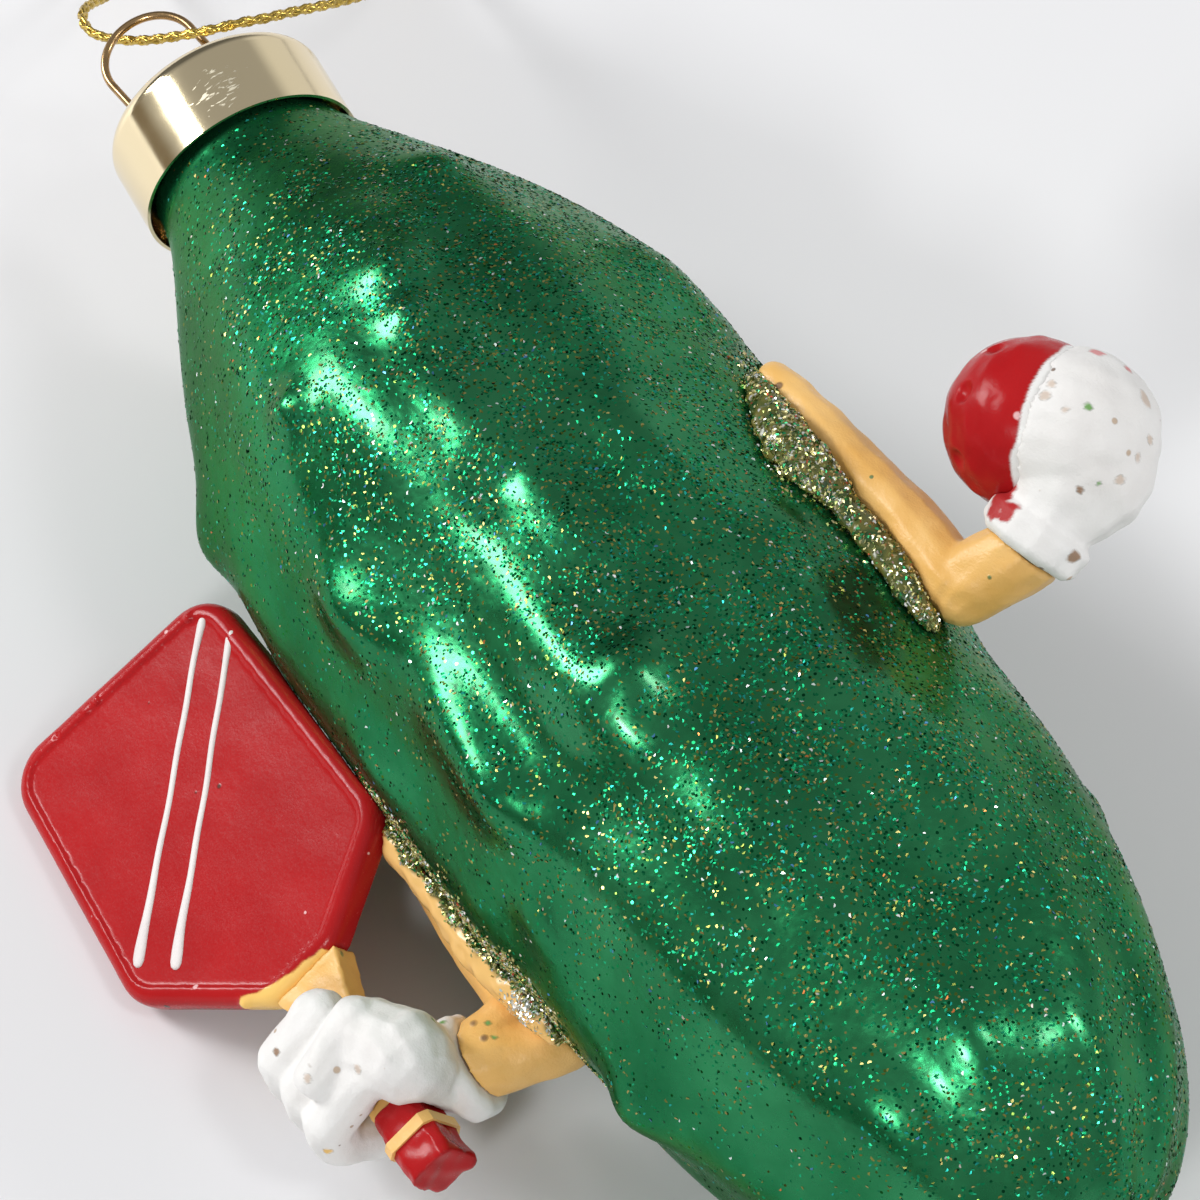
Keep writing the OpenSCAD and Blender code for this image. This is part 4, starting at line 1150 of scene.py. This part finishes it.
def stripe_mesh(name):
    """Two raised lines of paint on the paddle's face, wider at their ends."""
    t = np.concatenate([np.linspace(0, 0.06, 14)[:-1], np.linspace(0.06, 0.84, 40)[:-1],
                        np.linspace(0.84, 1, 24)])
    half = np.interp(t, *zip(*STRIPE_WIDTHS))
    u = np.concatenate([np.cos(np.linspace(0, math.pi, 9)), [-1.0, 1.0]])
    rise = np.concatenate([np.sin(np.linspace(0, math.pi, 9)), [-0.6, -0.6]])
    points, faces = [], []
    for (x0, y0), (x1, y1) in STRIPES:
        ahead = np.array([x1 - x0, y1 - y0])
        side = np.array([ahead[1], -ahead[0]]) / np.hypot(*ahead)
        sway = 0.05 * np.sin(23 * t + x0) + 0.05 * np.sin(9 * t)
        off = half[:, None] * u + sway[:, None]
        x = x0 + ahead[0] * t[:, None] + side[0] * off
        up = y0 + ahead[1] * t[:, None] + side[1] * off
        depth = FACE_DEPTH - STRIPE_H * np.minimum(1, half / 0.4)[:, None] * rise
        first, size = sum(len(q) for q in points), len(u)
        points.append(on_paddle(x, depth, up).reshape(-1, 3))
        for i in range(len(t) - 1):
            for k in range(size):
                n = (k + 1) % size
                faces.append((first + i * size + k, first + i * size + n,
                              first + (i + 1) * size + n, first + (i + 1) * size + k))
        faces.append(tuple(first + k for k in range(size)))
        faces.append(tuple(first + (len(t) - 1) * size + k for k in range(size)))
    mesh = mesh_from(name, np.concatenate(points), faces)
    bm = bmesh.new()
    bm.from_mesh(mesh)
    bmesh.ops.recalc_face_normals(bm, faces=bm.faces)
    bm.to_mesh(mesh)
    bm.free()
    return mesh


class ORNAMENT_OT_castings(bpy.types.Operator):
    """Softens and paints the sleeves, gloves, paddle and ball"""
    bl_idname = "ornament.castings"
    bl_label = "Painted castings"

    def execute(self, context):
        settings = context.scene.ornament_paint
        paints = paint_group(speck_group())
        tan, brown, pale = (0.50, 0.36, 0.24, 1), (0.16, 0.09, 0.05, 1), (0.85, 0.55, 0.55, 1)
        green, dark = (0.05, 0.20, 0.08, 1), (0.05, 0.04, 0.03, 1)
        # Each paint: colour, shade, two speck colours, mottle, speck scale and share, gloss, depth, shine
        yellow, white, line, red, gloss = (paint_material(name, paints, *values) for name, *values in (
            ("yellow_paint", settings.yellow, (0.80, 0.44, 0.11, 1), brown, green,
             180.0, 620.0, 0.05, 0.40, 0.0002, 0.5),
            ("white_paint", settings.white, (0.76, 0.74, 0.72, 1), tan, brown,
             160.0, 900.0, 0.05, 0.6, 0.00022, 0.5),
            ("line_paint", (0.80, 0.76, 0.74, 1), (0.74, 0.68, 0.67, 1), tan, tan,
             160.0, 900.0, 0.02, 0.45, 0.00008, 0.5),
            ("paddle_red", settings.red, (0.37, 0.008, 0.010, 1), pale, dark,
             120.0, 760.0, 0.05, 0.22, 0.00004, 0.2),
            ("ball_red", settings.red, (0.38, 0.010, 0.013, 1), pale, dark,
             160.0, 760.0, 0.04, 0.19, 0.00012, 0.15)))
        for side, sleeve_marks, glove_marks in (("paddle", PADDLE_SLEEVE_MARKS, PADDLE_GLOVE_MARKS),
                                                ("ball", (), BALL_GLOVE_MARKS)):
            sleeve = self.cast(side + "_arm", side + "_sleeve", 6, 0.08, 4.0, sleeve_marks)
            dress(sleeve, "ornament", "yellow_paint", yellow, side + "_arm")
            glove = self.cast(side + "_glove", side + "_glove_painted", 6, 0.09, 3.4, glove_marks)
            dress(glove, "ornament", "white_paint", white, side + "_glove")
        dress(self.blade(), "ornament", "paddle_red", red, "paddle_blade")
        dress(self.butt(), "ornament", "paddle_red", red, "handle_butt")
        dress(self.ball(settings.white), "ornament", "ball_red", gloss, "ball")
        handle = self.cast("paddle_handle", "handle_painted", 3, 0.05, 3.0, ())
        dress(handle, "ornament", "yellow_paint", yellow, "paddle_handle")
        stripes = new_object("paddle_lines", stripe_mesh("paddle_lines"))
        dress(stripes, "ornament", "white_paint", line, "paddle_stripes")
        refinish("butt_band", yellow)
        return {"FINISHED"}

    @staticmethod
    def cast(node, name, rounds, height, size, marks):
        """A softened, slightly uneven casting with its marks."""
        piece = casting(node, name, bpy.context.scene.ornament_paint.grain, rounds)
        uneven(piece, height, size, len(name))
        paint_marks(piece, spots(piece, marks, 31))
        return piece

    @staticmethod
    def blade():
        """The paddle's blade, with bubbles in its rim and yellow paint on its lower end."""
        piece = casting("paddle_blade", "blade_painted", 0.0002, 3)
        uneven(piece, 0.012, 6.0, 7)
        swell(piece, [(on_paddle(*at), reach, height) for at, reach, height in (
            ((10.2, -1.7, 16.2), 0.42, 0.3), ((-1.5, -1.7, 17.2), 0.32, 0.25),
            ((-2.9, -1.7, 17.3), 0.25, 0.15), ((-6.7, -1.7, 17.7), 0.3, -0.2),
            ((-5.8, -1.2, -16.7), 0.55, 0.45))])
        points = read_points(piece.data)
        x, _, up = from_paddle(points)
        edge = np.interp(x, *THROAT_EDGE) + 0.1 * waves(points, 0.0026, 12)
        yellow = np.clip((edge - up) / 0.16 + 0.5, 0, 1) * (np.abs(x + 1.2) < 5.9)
        paint_marks(piece, [(yellow, YELLOW_MARK)])
        return piece

    @staticmethod
    def butt():
        """The end block of the handle, with a wavy side and a drawn-out tip."""
        piece = casting("handle_butt", "butt_painted", 0.0002, 3)
        uneven(piece, 0.08, 2.2, 3)
        swell(piece, [((0.0318, -0.0300, 0.0136), 1.3, -0.5), ((0.0367, -0.0308, 0.0117), 0.9, 0.55),
                      ((0.0350, -0.0302, 0.0130), 0.9, -0.35), ((0.0331, -0.0360, 0.0135), 0.35, 0.2)])
        return piece

    @staticmethod
    def ball(white):
        """The dimpled ball, with white paint over its edge beside the hand."""
        piece = casting("ball", "ball_painted", 0.0002, 2)
        uneven(piece, 0.05, 2.6, 8)
        points = read_points(piece.data)

        def clear():
            return np.linalg.norm(points - lay(*HAND_MID), axis=1) / MM - HAND_R

        low, high = (np.array(corner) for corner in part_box("ball"))
        out = points - (low + high) / 2
        sunk = np.maximum(0, 1 - np.linalg.norm(out, axis=1) / ((high - low).max() / 2))
        filled = smooth((FILL_REACH - clear()) / FILL_FADE) * sunk
        points = points + out * filled[:, None]
        write_points(piece.data, points)
        edge = WHITE_REACH + WHITE_WAVE * waves(points, 0.0045, 4)
        paint_marks(piece, [(np.clip((edge - clear()) / WHITE_FADE, 0, 1), tuple(white)[:3])])
        return piece


class ORNAMENT_OT_glue(bpy.types.Operator):
    """Fills the two glue beads with glitter"""
    bl_idname = "ornament.glue"
    bl_label = "Glitter glue"

    def execute(self, context):
        settings = context.scene.ornament_glitter
        tree = bpy.data.node_groups["Scatter flakes"]
        material, nodes, shader, coords = surface("clear_glue")
        cloud = remap(nodes, noise(nodes, coords, 600.0, 3.0), 0.35, 0.65)
        glue = blended(nodes, cloud, (0.02, 0.06, 0.015, 1), (0.16, 0.14, 0.03, 1))
        smeared = tuple(context.scene.ornament_paint.yellow)
        feed(nodes, shader, {"Base Color": blended(nodes, attribute(nodes, "glue_zone"), smeared, glue),
                             "Roughness": 0.25})
        mixed = flake_material("glue_flake", GLUE_TINTS, 0.3)
        silver = bpy.data.materials["silver_flake"]
        beads = []
        for seed, side in enumerate(("paddle", "ball")):
            bead = casting(side + "_arm_glue", side + "_glue_bead", 0.00028, 5)
            uneven(bead, 0.12, 2.2, 9 + seed)
            keep_attribute(bead.data, "glue_zone", self.bead_share(read_points(bead.data), side))
            near = np.linalg.norm(read_points(bead.data) - GLUE_CLUMP_MID[side], axis=1) / GLUE_CLUMP_R
            keep_attribute(bead.data, "clump", np.exp(-near * near))
            dress(bead, "ornament", "glitter_glue", material, side + "_arm_glue")
            beads.append(bead)
        skin = bpy.data.objects["glass_skin"]
        for name, base, zone, look, density, seed in (
                ("paddle_glue_glitter", beads[0], "glue_zone", mixed, 1.0, 51),
                ("ball_glue_glitter", beads[1], "glue_zone", mixed, 1.0, 52),
                ("paddle_glue_clump", beads[0], "clump", silver, 1.4, 53),
                ("ball_glue_clump", beads[1], "clump", silver, 1.4, 54),
                ("glass_glue_glitter", skin, "glue_zone", mixed, 0.8, 55)):
            flakes = scatter(name, base, tree, settings, look, {
                "Density": density * settings.glue, "Tilt": settings.glue_tilt, "Clumps": GLUE_CLUMPS,
                "Attribute": zone, "Seed": seed})
            dress(flakes, "ornament", "glitter_glue", look)
        return {"FINISHED"}

    @staticmethod
    def bead_share(points, side):
        """How much of a bead is glitter: the paddle's has yellow paint over it away from the glass."""
        if side == "ball":
            return np.ones(len(points))
        x, y, z = (points / MM - PLACE).T
        clear = np.hypot(y, z) - profile(x) + 0.25 * waves(points, 0.002, 21)
        return smooth((1.1 - clear) / 0.4)


class ORNAMENT_OT_cap(bpy.types.Operator):
    """Finishes the gold cap and the wire hanger"""
    bl_idname = "ornament.cap"
    bl_label = "Cap and wire"

    def execute(self, context):
        settings = context.scene.ornament_metal
        for node, finish in (("cap", gold_material(settings)),
                             ("hanger_wire", wire_material("copper_wire", settings.wire, 0.22))):
            refinish(node, finish)
        return {"FINISHED"}


class ORNAMENT_PT_panel(bpy.types.Panel):
    """Lists the ornament's pieces"""
    bl_label = "Pickle ornament"
    bl_space_type = "VIEW_3D"
    bl_region_type = "UI"
    bl_category = "Ornament"

    def draw(self, context):
        for operator in OPERATORS:
            self.layout.operator(operator.bl_idname)


SETTINGS = (("ornament_glass", GlassSettings), ("ornament_glitter", GlitterSettings),
            ("ornament_paint", PaintSettings), ("ornament_metal", MetalSettings),
            ("ornament_stage", StageSettings))
OPERATORS = (ORNAMENT_OT_stage, ORNAMENT_OT_thread, ORNAMENT_OT_glass, ORNAMENT_OT_glitter,
             ORNAMENT_OT_castings, ORNAMENT_OT_glue, ORNAMENT_OT_cap)


def register():
    """Registers the settings, operators and panel."""
    for name, group in SETTINGS:
        bpy.utils.register_class(group)
        setattr(bpy.types.Scene, name, bpy.props.PointerProperty(type=group))
    for operator in OPERATORS:
        bpy.utils.register_class(operator)
    bpy.utils.register_class(ORNAMENT_PT_panel)


def unregister():
    """Removes them again."""
    bpy.utils.unregister_class(ORNAMENT_PT_panel)
    for operator in reversed(OPERATORS):
        bpy.utils.unregister_class(operator)
    for name, group in reversed(SETTINGS):
        delattr(bpy.types.Scene, name)
        bpy.utils.unregister_class(group)


def main():
    """Makes every piece."""
    register()
    for step in ("stage", "thread", "glass", "glitter", "castings", "glue", "cap"):
        getattr(bpy.ops.ornament, step)()


if __name__ == "__main__":
    main()
